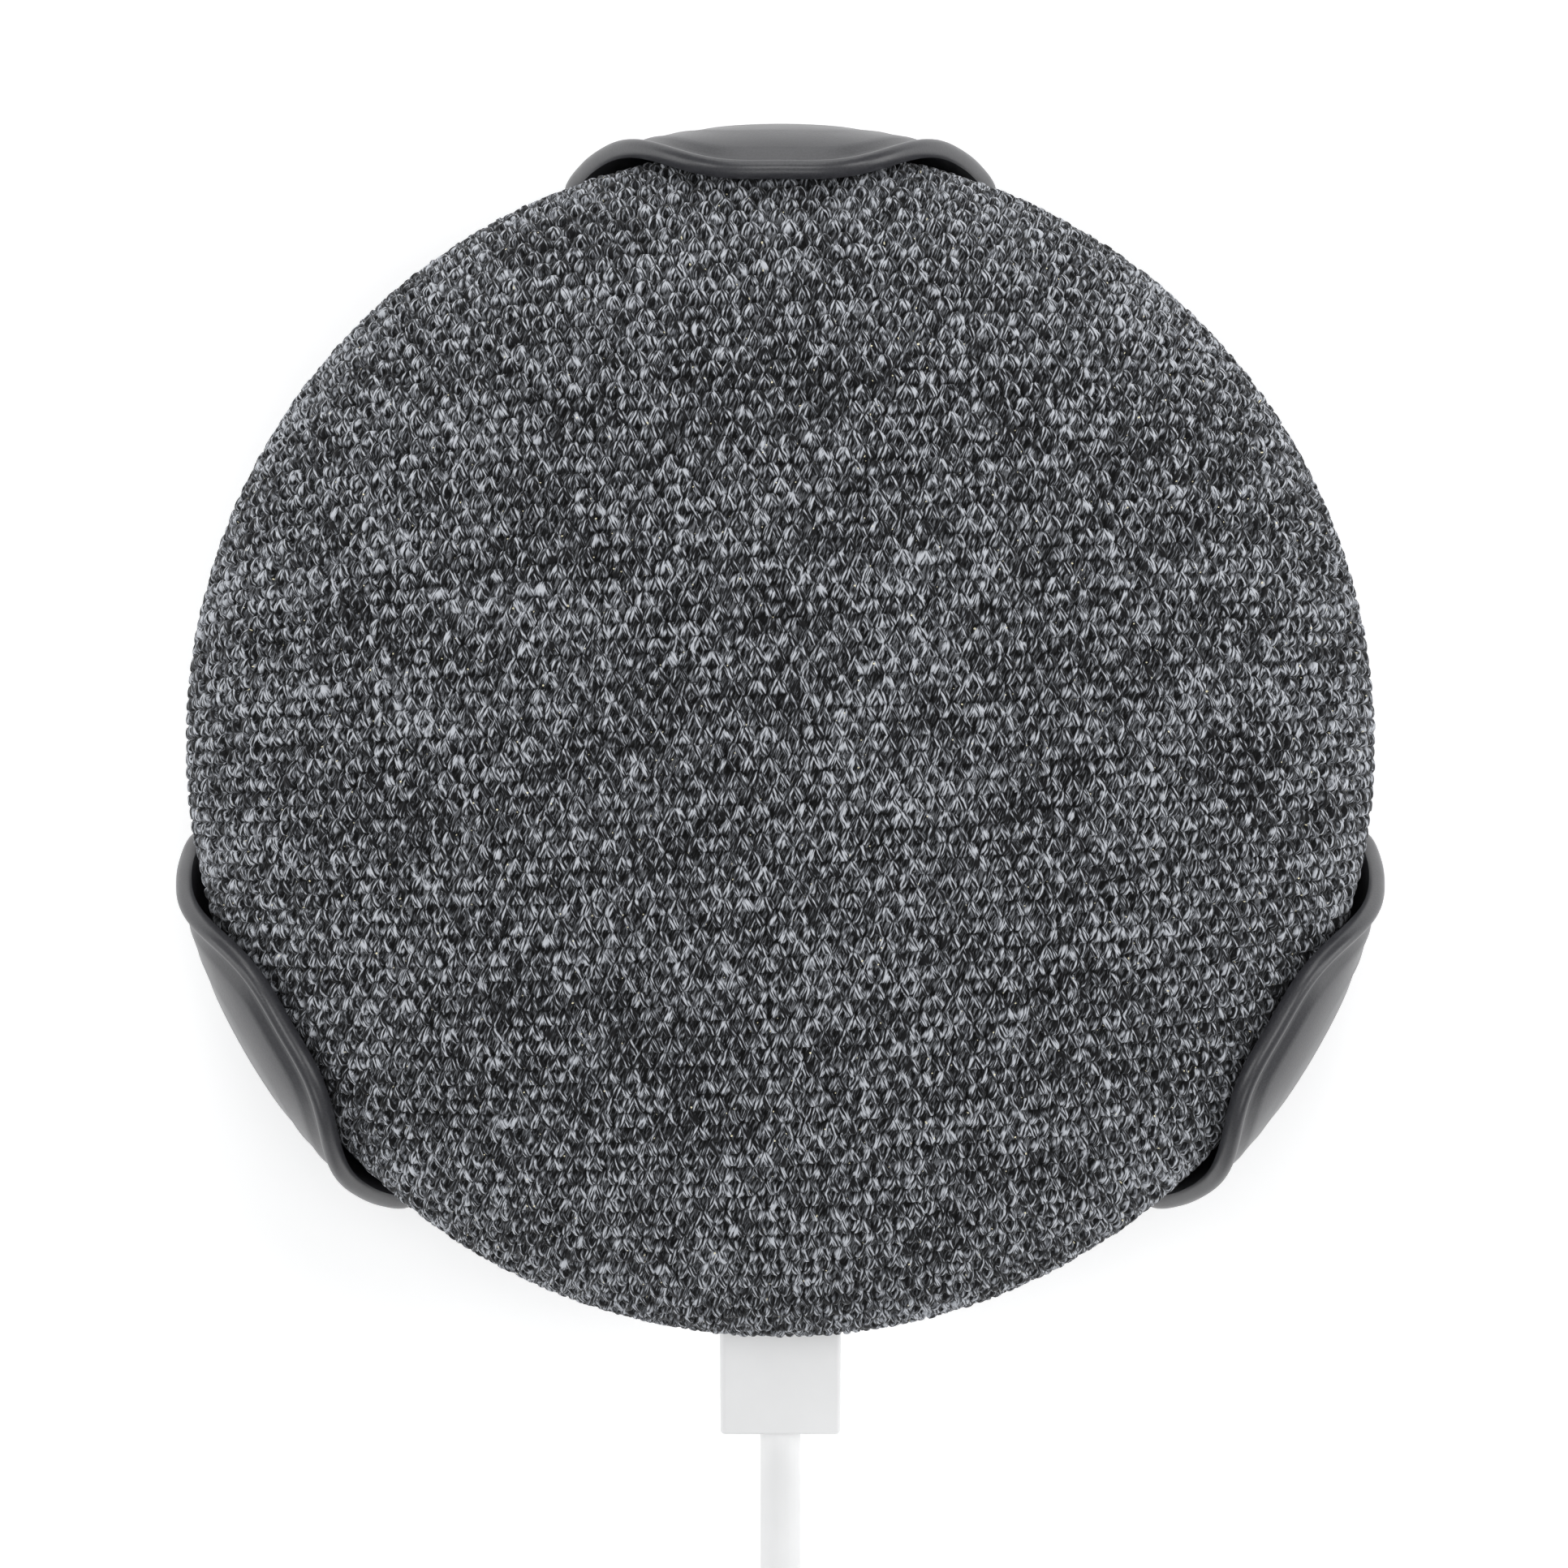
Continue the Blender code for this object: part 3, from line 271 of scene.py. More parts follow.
def rounded_block(low, high, axis, corner, edge, ends=(1.0, 1.0), steps=5):
    """A moulded block between two corners, rounded all round, its ends scaled by these shares."""
    turn = "XYZ".index(axis)
    first, second = [i for i in range(3) if i != turn]
    middle = (low + high) / 2
    size = high - low
    wide, tall = size[first], size[second]
    sections = [(*row, ends[0]) for row in edge_rows(low[turn], edge, steps)]
    sections += [(*row, ends[1]) for row in edge_rows(high[turn], -edge, steps)[::-1]]
    rings = []
    for place, inset, share in sections:
        outline = rounded_rectangle(
            wide * share - 2 * inset, tall * share - 2 * inset, max(corner - inset, 0.05 * MM)
        )
        ring = []
        for u, v in outline:
            point = [0.0, 0.0, 0.0]
            point[turn] = place
            point[first], point[second] = middle[first] + u, middle[second] + v
            ring.append(tuple(point))
        rings.append(ring)
    return mesh_of_grid(rings)


def boolean(piece, cutter, operation):
    """Cuts or joins the piece's mesh for good, and removes the other mesh."""
    helper = bpy.data.objects.new("helper", cutter)
    bpy.context.scene.collection.objects.link(helper)
    modifier = piece.modifiers.new("boolean", "BOOLEAN")
    modifier.operation = operation
    modifier.solver = "EXACT"
    modifier.object = helper
    graph = bpy.context.evaluated_depsgraph_get()
    mesh = bpy.data.meshes.new_from_object(piece.evaluated_get(graph))
    piece.modifiers.clear()
    old, piece.data = piece.data, mesh
    bpy.data.meshes.remove(old)
    bpy.data.objects.remove(helper, do_unlink=True)
    bpy.data.meshes.remove(cutter)
    mesh.set_sharp_from_angle(angle=SHARP_ANGLE)


def moved(mesh, matrix):
    mesh.transform(matrix)
    return mesh


def joined(meshes):
    """One mesh of several separate ones."""
    shape = bmesh.new()
    for mesh in meshes:
        shape.from_mesh(mesh)
        bpy.data.meshes.remove(mesh)
    return mesh_from(shape)


def round_about(radius, degrees, z=0.0):
    angle = math.radians(degrees)
    return Vector((radius * math.cos(angle), radius * math.sin(angle), z))


def smooth_step(t):
    t = min(max(t, 0.0), 1.0)
    return t * t * (3 - 2 * t)


def smooth_path(points, spacing):
    """Points about this far apart on a smooth curve through the given ones."""
    places = [Vector(point) for point in points]
    ends = [places[0] * 2 - places[1], *places, places[-1] * 2 - places[-2]]
    found = []
    for before, start, end, after in zip(ends, ends[1:], ends[2:], ends[3:]):
        steps = max(1, round((end - start).length / spacing))
        for step in range(steps):
            t = step / steps
            linear = (end - before) * t
            square = (before * 2 - start * 5 + end * 4 - after) * t**2
            cube = (start * 3 - before - end * 3 + after) * t**3
            found.append(start + (linear + square + cube) / 2)
    return [*found, places[-1]]


# ---------------------------------------------------------------- materials


class Finish:
    """A Principled material and the node tree that colours it."""

    def __init__(self, name, roughness=0.5, **sockets):
        self.material = bpy.data.materials.new(name)
        self.material.use_nodes = True
        self.tree = self.material.node_tree
        self.shader = self.tree.nodes["Principled BSDF"]
        self.set(Roughness=roughness, **sockets)
        self.place = self.add("TexCoord").outputs["Object"]

    def set(self, **sockets):
        for name, value in sockets.items():
            self.feed(self.shader.inputs[name.replace("_", " ")], value)

    def feed(self, socket, value):
        if isinstance(value, bpy.types.NodeSocket):
            self.tree.links.new(value, socket)
        elif hasattr(value, "__len__") and len(value) == 3 and socket.type == "RGBA":
            socket.default_value = (*value, 1.0)
        else:
            socket.default_value = value

    def add(self, kind, inputs=(), **settings):
        """A node, its settings, and its inputs by name or number."""
        node = self.tree.nodes.new("ShaderNode" + kind)
        for name, value in settings.items():
            setattr(node, name, value)
        for key, value in dict(inputs).items():
            self.feed(node.inputs[key], value)
        return node

    def noise(self, size, detail=3.0, stretch=(1, 1, 1), turn=(0, 0, 0), place=None, rough=0.55):
        """Noise with features of this size in metres, as a factor from 0 to 1."""
        inputs = {"Vector": place or self.place, "Rotation": turn}
        inputs["Scale"] = tuple(size / s for s in stretch)
        mapped = self.add("Mapping", inputs, vector_type="TEXTURE").outputs[0]
        inputs = {"Vector": mapped, "Scale": 1.0, "Detail": detail, "Roughness": rough}
        return self.add("TexNoise", inputs).outputs["Fac"]

    def ramp(self, factor, *stops):
        """Colours or greys by factor. Each stop is a place and a grey or a colour."""
        node = self.add("ValToRGB", {"Fac": factor})
        elements = node.color_ramp.elements
        while len(elements) < len(stops):
            elements.new(0.5)
        for element, (place, colour) in zip(elements, stops):
            element.position = place
            if isinstance(colour, (int, float)):
                colour = (colour, colour, colour)
            element.color = (*colour, 1.0)
        return node.outputs["Color"]

    def mix(self, factor, first, second, blend="MIX"):
        node = self.add("Mix", data_type="RGBA", blend_type=blend)
        self.feed(node.inputs[0], factor)
        self.feed(node.inputs[6], first)
        self.feed(node.inputs[7], second)
        return node.outputs[2]

    def math(self, operation, first, second=0.0):
        return self.add("Math", {0: first, 1: second}, operation=operation).outputs[0]

    def span(self, factor, low, high):
        """The factor, from 0 to 1, spread from low to high."""
        node = self.add("MapRange", {"Value": factor, "To Min": low, "To Max": high})
        return node.outputs["Result"]

    def bump(self, height, distance, strength=1.0):
        inputs = {"Height": height, "Distance": distance, "Strength": strength}
        self.set(Normal=self.add("Bump", inputs).outputs["Normal"])


def moulded(name, colour, roughness, grain=0.35 * MM, depth=0.012 * MM, mottle=0.12, **sockets):
    """Moulded plastic with a fine spark texture, faint flow mottling and rubbed patches."""
    finish = Finish(name, **sockets)
    cloud = finish.noise(6 * MM, 4)
    dark = tuple(c * (1 - mottle) for c in colour)
    light = tuple(min(1.0, c * (1 + mottle)) for c in colour)
    finish.set(Base_Color=finish.ramp(cloud, (0.3, dark), (0.7, light)))
    fine = finish.noise(grain, 2)
    rubbed = finish.noise(2.5 * MM, 5)
    finish.set(Roughness=finish.span(rubbed, roughness - 0.08, roughness + 0.08))
    finish.bump(fine, depth)
    return finish.material


def metal(name, colour, roughness):
    """Drawn or stamped metal with fine lines along one way and faint tarnish."""
    finish = Finish(name, Metallic=1.0)
    lines = finish.noise(0.12 * MM, 2, (1, 1, 0.06))
    tarnish = finish.noise(3 * MM, 4)
    dull = tuple(c * 0.78 for c in colour)
    finish.set(Base_Color=finish.ramp(tarnish, (0.35, dull), (0.65, colour)))
    finish.set(Roughness=finish.span(lines, roughness - 0.08, roughness + 0.14))
    finish.bump(lines, 0.004 * MM)
    return finish.material


def floor_finish():
    finish = Finish("pale_floor", 0.9, Emission_Color=(1.0, 1.0, 1.0), Emission_Strength=0.3)
    cloud = finish.noise(60 * MM, 3)
    finish.set(Base_Color=finish.ramp(cloud, (0.3, 0.985), (0.7, 1.0)))
    return finish.material


def knit_finish():
    """Melange yarn: light and dark fibres that run along each leg of a stitch, with painted shade in the
    low gaps between the legs.
    """
    finish = Finish("melange_knit", 0.92, Sheen_Weight=0.12, Sheen_Roughness=0.5)
    finish.set(Specular_IOR_Level=0.25)
    pattern = finish.add("Attribute", attribute_name="pattern").outputs["Vector"]
    side = finish.add("Attribute", attribute_name="side").outputs["Fac"]
    relief = finish.add("Attribute", attribute_name="relief").outputs["Fac"]
    tone = finish.add("Attribute", attribute_name="tone").outputs["Fac"]
    fibres = []
    for lean in (-1, 1):
        turn = (0, 0, lean * math.radians(23))
        fibres.append(finish.noise(1.0, 1.2, (6.2, 1.0, 1), turn, pattern, 0.6))
    fibre = finish.mix(side, fibres[0], fibres[1])
    fibre = finish.add("SeparateColor", {0: fibre}).outputs[0]
    lit = finish.math("ADD", fibre, finish.math("MULTIPLY", tone, 0.16))
    colours = finish.ramp(
        lit,
        (0.50, (0.006, 0.006, 0.007)),
        (0.57, (0.050, 0.053, 0.058)),
        (0.63, (0.205, 0.214, 0.235)),
        (0.71, (0.56, 0.58, 0.62)),
    )
    # Painted shade: the colour is darkened where the knit's relief is low, in the gaps between the
    # stitches' legs, where shade falls.
    painted_gap_shade = finish.ramp(relief, (0.02, 0.26), (0.3, 0.8), (0.55, 1.0))
    specks = finish.noise(1.0, 0.0, (3.2, 3.2, 1), (0, 0, 0), pattern)
    speck = finish.ramp(specks, (0.84, 0.0), (0.87, 1.0))
    base = finish.mix(1.0, colours, painted_gap_shade, "MULTIPLY")
    finish.set(Base_Color=finish.mix(speck, base, (0.95, 0.88, 0.62)))
    finish.bump(fibre, 0.10 * MM, 0.8)
    return finish.material


def claw_finish():
    """Satin black plastic with a fine spark texture."""
    finish = Finish("satin_claw_plastic", Specular_IOR_Level=0.65)
    cloud = finish.noise(9 * MM, 4)
    speck = finish.noise(0.16 * MM, 2)
    tint = finish.ramp(cloud, (0.3, (0.034, 0.034, 0.039)), (0.7, (0.042, 0.042, 0.047)))
    grain = finish.ramp(speck, (0.35, 0.80), (0.65, 1.15))
    finish.set(Base_Color=finish.mix(1.0, tint, grain, "MULTIPLY"))
    rubbed = finish.noise(4 * MM, 5, (1, 1, 2))
    finish.set(Roughness=finish.span(rubbed, 0.27, 0.38))
    finish.bump(speck, 0.012 * MM)
    return finish.material


def board_finish():
    """Solder mask over copper tracks, with pads and vias."""
    colour = (0.012, 0.07, 0.035)
    finish = Finish("solder_mask", 0.35)
    grid = finish.add("TexBrick", {"Vector": finish.place, "Scale": 420.0}, offset=0.37).outputs
    tracks = finish.add(
        "TexVoronoi", {"Vector": finish.place, "Scale": 380.0}, feature="DISTANCE_TO_EDGE"
    ).outputs["Distance"]
    line = finish.ramp(tracks, (0.03, 1.0), (0.06, 0.0))
    bright = tuple(min(1.0, c * 2.2) for c in colour)
    under = finish.mix(line, colour, bright)
    vias = finish.add("TexVoronoi", {"Vector": finish.place, "Scale": 520.0}).outputs["Distance"]
    via = finish.ramp(vias, (0.10, 1.0), (0.13, 0.0))
    finish.set(Base_Color=finish.mix(via, under, (0.72, 0.60, 0.32)))
    finish.bump(finish.mix(0.5, line, grid["Fac"]), 0.02 * MM)
    return finish.material


def foam_finish(name, colour, pore=0.5 * MM):
    """Open foam: pores of mixed sizes, with painted shade inside the pores."""
    finish = Finish(name, 0.95)
    pores = finish.add("TexVoronoi", {"Vector": finish.place, "Scale": 1 / pore}).outputs["Distance"]
    cloud = finish.noise(4 * MM, 4)
    # Painted shade: the colour darkens to under half inside each pore, where the pores' bump sinks in.
    dark = tuple(c * 0.45 for c in colour)
    base = finish.ramp(pores, (0.15, dark), (0.5, colour))
    shade = finish.ramp(cloud, (0.3, 0.85), (0.7, 1.0))
    finish.set(Base_Color=finish.mix(1.0, base, shade, "MULTIPLY"))
    finish.bump(pores, 0.12 * MM)
    return finish.material


def cord_finish():
    """A smooth white jacket with faint drawing lines along it."""
    finish = Finish("white_cord_jacket", Specular_IOR_Level=0.4)
    cloud = finish.noise(5 * MM, 3)
    finish.set(Base_Color=finish.ramp(cloud, (0.3, 0.89), (0.7, 0.92)))
    finish.set(Roughness=finish.span(finish.noise(1.5 * MM, 4), 0.38, 0.52))
    finish.bump(finish.noise(0.25 * MM, 2, (1, 0.1, 1)), 0.006 * MM)
    return finish.material


def strap_finish():
    """Hook-and-loop tape: rows of small loops, with painted shade in the low pits of its texture."""
    finish = Finish("loop_tape", 0.95, Sheen_Weight=0.2)
    loops = finish.add("TexVoronoi", {"Vector": finish.place, "Scale": 2200.0}).outputs["Distance"]
    # Painted shade: the tape is darkest in the low pits of the loop texture that the bump sinks in.
    finish.set(Base_Color=finish.ramp(loops, (0.1, 0.012), (0.6, 0.05)))
    finish.bump(loops, 0.12 * MM)
    return finish.material


def cloth_finish():
    """A resin-stiffened woven cloth, with painted shade in the low parts of its weave."""
    colour, weave = (0.72, 0.48, 0.18), 0.45 * MM
    finish = Finish("spider_cloth", 0.8)
    waves = []
    for direction in ("X", "Y"):
        inputs = {"Vector": finish.place, "Scale": 0.16 / weave}
        waves.append(finish.add("TexWave", inputs, bands_direction=direction).outputs["Fac"])
    weave_height = finish.math("MAXIMUM", waves[0], waves[1])
    # Painted shade: the low parts of the weave, between the threads, are coloured at half the cloth's
    # colour.
    dark = tuple(c * 0.5 for c in colour)
    finish.set(Base_Color=finish.ramp(weave_height, (0.2, dark), (0.9, colour)))
    finish.bump(weave_height, 0.05 * MM)
    return finish.material


def paper_finish():
    """Pressed paper pulp with short fibres."""
    finish = Finish("paper_pulp", 0.85)
    fibres = finish.noise(0.5 * MM, 6, (1, 0.3, 1))
    finish.set(Base_Color=finish.ramp(fibres, (0.3, 0.018), (0.75, 0.07)))
    finish.bump(fibres, 0.05 * MM)
    return finish.material


def chip_finish():
    """Moulded chip package with a fine matt grain."""
    finish = Finish("chip_package")
    grain = finish.noise(0.2 * MM, 3)
    finish.set(Base_Color=finish.ramp(grain, (0.3, (0.014, 0.014, 0.015)), (0.7, (0.03, 0.03, 0.032))))
    finish.set(Roughness=finish.span(finish.noise(1.2 * MM, 3), 0.45, 0.65))
    finish.bump(grain, 0.01 * MM)
    return finish.material


def film_finish():
    """Amber film over copper conductors that run along it."""
    finish = Finish("polyimide_film", 0.3, Coat_Weight=0.4)
    inputs = {"Vector": finish.place, "Scale": 160.0}
    lines = finish.add("TexWave", inputs, bands_direction="X").outputs["Fac"]
    finish.set(Base_Color=finish.ramp(lines, (0.35, (0.42, 0.16, 0.02)), (0.6, (0.75, 0.38, 0.08))))
    finish.bump(lines, 0.02 * MM)
    return finish.material


WHITE = (0.93, 0.93, 0.93)
FINISHES = {
    "floor": floor_finish,
    "knit": knit_finish,
    "claw_plastic": claw_finish,
    "pad_foam": lambda: foam_finish("pad_foam_tape", (0.42, 0.42, 0.42)),
    "housing_plastic": lambda: moulded("housing_plastic", (0.10, 0.10, 0.11), 0.5),
    "shell_plastic": lambda: moulded("shell_plastic", (0.03, 0.03, 0.03), 0.6),
    "silicone": lambda: moulded("silicone_rubber", (0.05, 0.05, 0.055), 0.75, 0.6 * MM, 0.02 * MM),
    "board": board_finish,
    "chip": chip_finish,
    "steel": lambda: metal("stamped_steel", (0.60, 0.60, 0.60), 0.32),
    "aluminium": lambda: moulded(
        "cast_aluminium", (0.62, 0.62, 0.64), 0.45, 0.4 * MM, 0.03 * MM, Metallic=1.0
    ),
    "copper": lambda: metal("copper", (0.80, 0.42, 0.24), 0.3),
    "gold": lambda: metal("gold_plate", (0.90, 0.68, 0.33), 0.28),
    "paper": paper_finish,
    "foam_rubber": lambda: foam_finish("foam_rubber", (0.035, 0.035, 0.035), 0.3 * MM),
    "light_guide": lambda: moulded(
        "frosted_light_guide", (0.92, 0.92, 0.92), 0.35, 0.2 * MM, 0.01 * MM, 0.03
    ),
    "thermal_silicone": lambda: moulded("thermal_silicone", (0.30, 0.45, 0.58), 0.7, 0.3 * MM),
    "spider_cloth": cloth_finish,
    "polyimide": film_finish,
    "white_plastic": lambda: moulded("white_plastic", WHITE, 0.38, 0.5 * MM, 0.006 * MM, 0.02),
    "white_cord": cord_finish,
    "black_tie": strap_finish,
    "red_wire": lambda: moulded("red_wire_jacket", (0.55, 0.02, 0.02), 0.4, 0.3 * MM),
    "black_wire": lambda: moulded("black_wire_jacket", (0.02, 0.02, 0.02), 0.4, 0.3 * MM),
}
MADE = {}


def finish_of(slot):
    """The material for one of the record's slots, made the first time."""
    if slot not in MADE:
        MADE[slot] = FINISHES[slot]()
    return MADE[slot]


# ---------------------------------------------------------------- the hub's skin


def skin_point(t, upper, inward):
    """A point on the skin's section, t from 0 at the equator to 1 at the pole or the foot."""
    power = DOME_POWER if upper else BELLY_POWER
    flat = 0.0 if upper else FOOT_RADIUS
    wide = HUB_RADIUS - flat
    tall = (HUB_HEIGHT - EQUATOR_Z) if upper else (EQUATOR_Z - RIM_Z)
    angle = t * math.pi / 2
    across = max(math.cos(angle), 0.0) ** (2 / power)
    up = math.sin(angle) ** (2 / power)
    normal = Vector((across ** (power - 1) / wide, up ** (power - 1) / tall)).normalized()
    sign = 1 if upper else -1
    r = flat + wide * across - inward * normal.x
    z = EQUATOR_Z + sign * (tall * up - inward * normal.y)
    return (0.0 if upper and t == 1 else r, HUB_Z + z)


def belly_t(z):
    """The lower skin's t at this height above the hub's base."""
    drop = (EQUATOR_Z - z) / (EQUATOR_Z - RIM_Z)
    return math.asin(drop ** (BELLY_POWER / 2)) * 2 / math.pi


class Section:
    """A line of (radius, height) points, read by the length along it."""

    def __init__(self, points):
        self.points = np.array(points, float)
        steps = np.linalg.norm(np.diff(self.points, axis=0), axis=1)
        self.along = np.concatenate([[0.0], np.cumsum(steps)])
        self.length = self.along[-1]
        slope = np.gradient(self.points, self.along, axis=0)
        slope /= np.linalg.norm(slope, axis=1)[:, None]
        self.normals = np.stack([-slope[:, 1], slope[:, 0]], axis=1)

    def at(self, along):
        """Radius, height, and the two parts of the outward normal."""
        read = [np.interp(along, self.along, self.points[:, k]) for k in (0, 1)]
        return [*read, *[np.interp(along, self.along, self.normals[:, k]) for k in (0, 1)]]


# ---------------------------------------------------------------- the knit cover

STITCH_WIDTH = 1.72 * MM
STITCH_ROW = 1.225 * MM
CELLS_ACROSS = 12
CELLS_UP = 7
LATTICE_TURN = math.radians(2.3)
STITCH_DEPTH = 0.50 * MM
STITCH_PROUD = 0.06 * MM
HEM_RADIUS = 0.4 * MM
LEG_LENGTH = 1.24 * MM
LEG_SLANT = 22
LEG_START = 0.12 * MM
BLUNT_FROM = 0.72


def cover_section():
    """The skin from the pole over the equator to the seam, then round the hem and up inside."""
    edge = SEAM_Z + GAP / 2 + HEM_RADIUS
    count = 1500
    line = [skin_point(1 - i / count, True, 0) for i in range(count)]
    line += [skin_point(belly_t(edge) * i / count, False, 0) for i in range(count + 1)]
    end, before = Vector(line[-1]), Vector(line[-2])
    down = (end - before).normalized()
    out = Vector((-down.y, down.x))
    centre = end - out * HEM_RADIUS
    skin_length = Section(line).length
    for i in range(1, 41):
        angle = math.pi * i / 40
        line.append(tuple(centre + (out * math.cos(angle) + down * math.sin(angle)) * HEM_RADIUS))
    inside = centre - out * HEM_RADIUS
    line += [tuple(inside - down * step * MM) for step in (0.3, 0.6, 0.9)]
    return Section(line), skin_length


def stitch_relief(x, y, rng):
    """The knit's height from 0 to 1 at pattern places, each leg's own tone, and its side."""
    rows = int(np.abs(y).max() / STITCH_ROW) + 4
    columns = int(np.abs(x).max() / STITCH_WIDTH) + 4
    shape = (2 * rows + 1, 2 * columns + 1, 2)
    shift = rng.normal(0, 0.06, (*shape[:2], 2)) * MM
    slant = rng.normal(0, 4.5, shape)
    wide = rng.normal(1, 0.16, shape)
    high = rng.normal(0.90, 0.10, shape)
    own = rng.random(shape)
    best = np.full(x.shape, -1.0)
    tone = np.zeros(x.shape)
    side = np.zeros(x.shape)
    row = np.round(y / STITCH_ROW).astype(int)
    for up in (0, 1, 2):
        here = row + up
        offset = (here % 2) * 0.5
        column = np.round(x / STITCH_WIDTH - offset).astype(int)
        for across in (-1, 0, 1):
            there = column + across
            i, j = here + rows, there + columns
            apex_x = (there + offset) * STITCH_WIDTH + shift[i, j, 0]
            apex_y = here * STITCH_ROW + shift[i, j, 1]
            for k, sign in enumerate((-1, 1)):
                angle = np.radians(LEG_SLANT + slant[i, j, k]) * sign
                from_x = x - apex_x - sign * LEG_START
                from_y = apex_y - y
                along = from_x * np.sin(angle) + from_y * np.cos(angle)
                off = from_x * np.cos(angle) - from_y * np.sin(angle)
                t = along / LEG_LENGTH
                inside = np.clip(t, 0, 1)
                width = (0.14 + 0.27 * np.sin(0.78 * math.pi * inside)) * MM * wide[i, j, k]
                blunt = np.clip((inside - BLUNT_FROM) / (1 - BLUNT_FROM), 0, 1)
                width = width * np.sqrt(np.clip(1 - blunt**2, 0.0001, 1))
                across_leg = 1 - np.abs(off / width) ** 3
                arch = 0.5 + 0.5 * np.sin(math.pi * np.clip(0.12 + 0.66 * t, 0, 1))
                height = np.sqrt(np.clip(across_leg, 0, 1)) * arch * high[i, j, k]
                height = np.where((t > 0) & (t < 1), height, 0)
                wins = height > best
                best = np.where(wins, height, best)
                tone = np.where(wins, own[i, j, k], tone)
                side = np.where(wins, (sign + 1) / 2, side)
    return np.clip(best, 0, 1), tone, side


def patches(x, y, wide, tall, rng):
    """Soft random patches of this size, about -1 to 1, at pattern places."""
    u, v = x / wide, y / tall
    u, v = u - u.min(), v - v.min()
    grid = rng.normal(0, 1, (int(v.max()) + 3, int(u.max()) + 3))
    i, j = v.astype(int), u.astype(int)
    p, q = v - i, u - j
    p, q = p * p * (3 - 2 * p), q * q * (3 - 2 * q)
    low = grid[i, j] * (1 - q) + grid[i, j + 1] * q
    high = grid[i + 1, j] * (1 - q) + grid[i + 1, j + 1] * q
    return low * (1 - p) + high * p


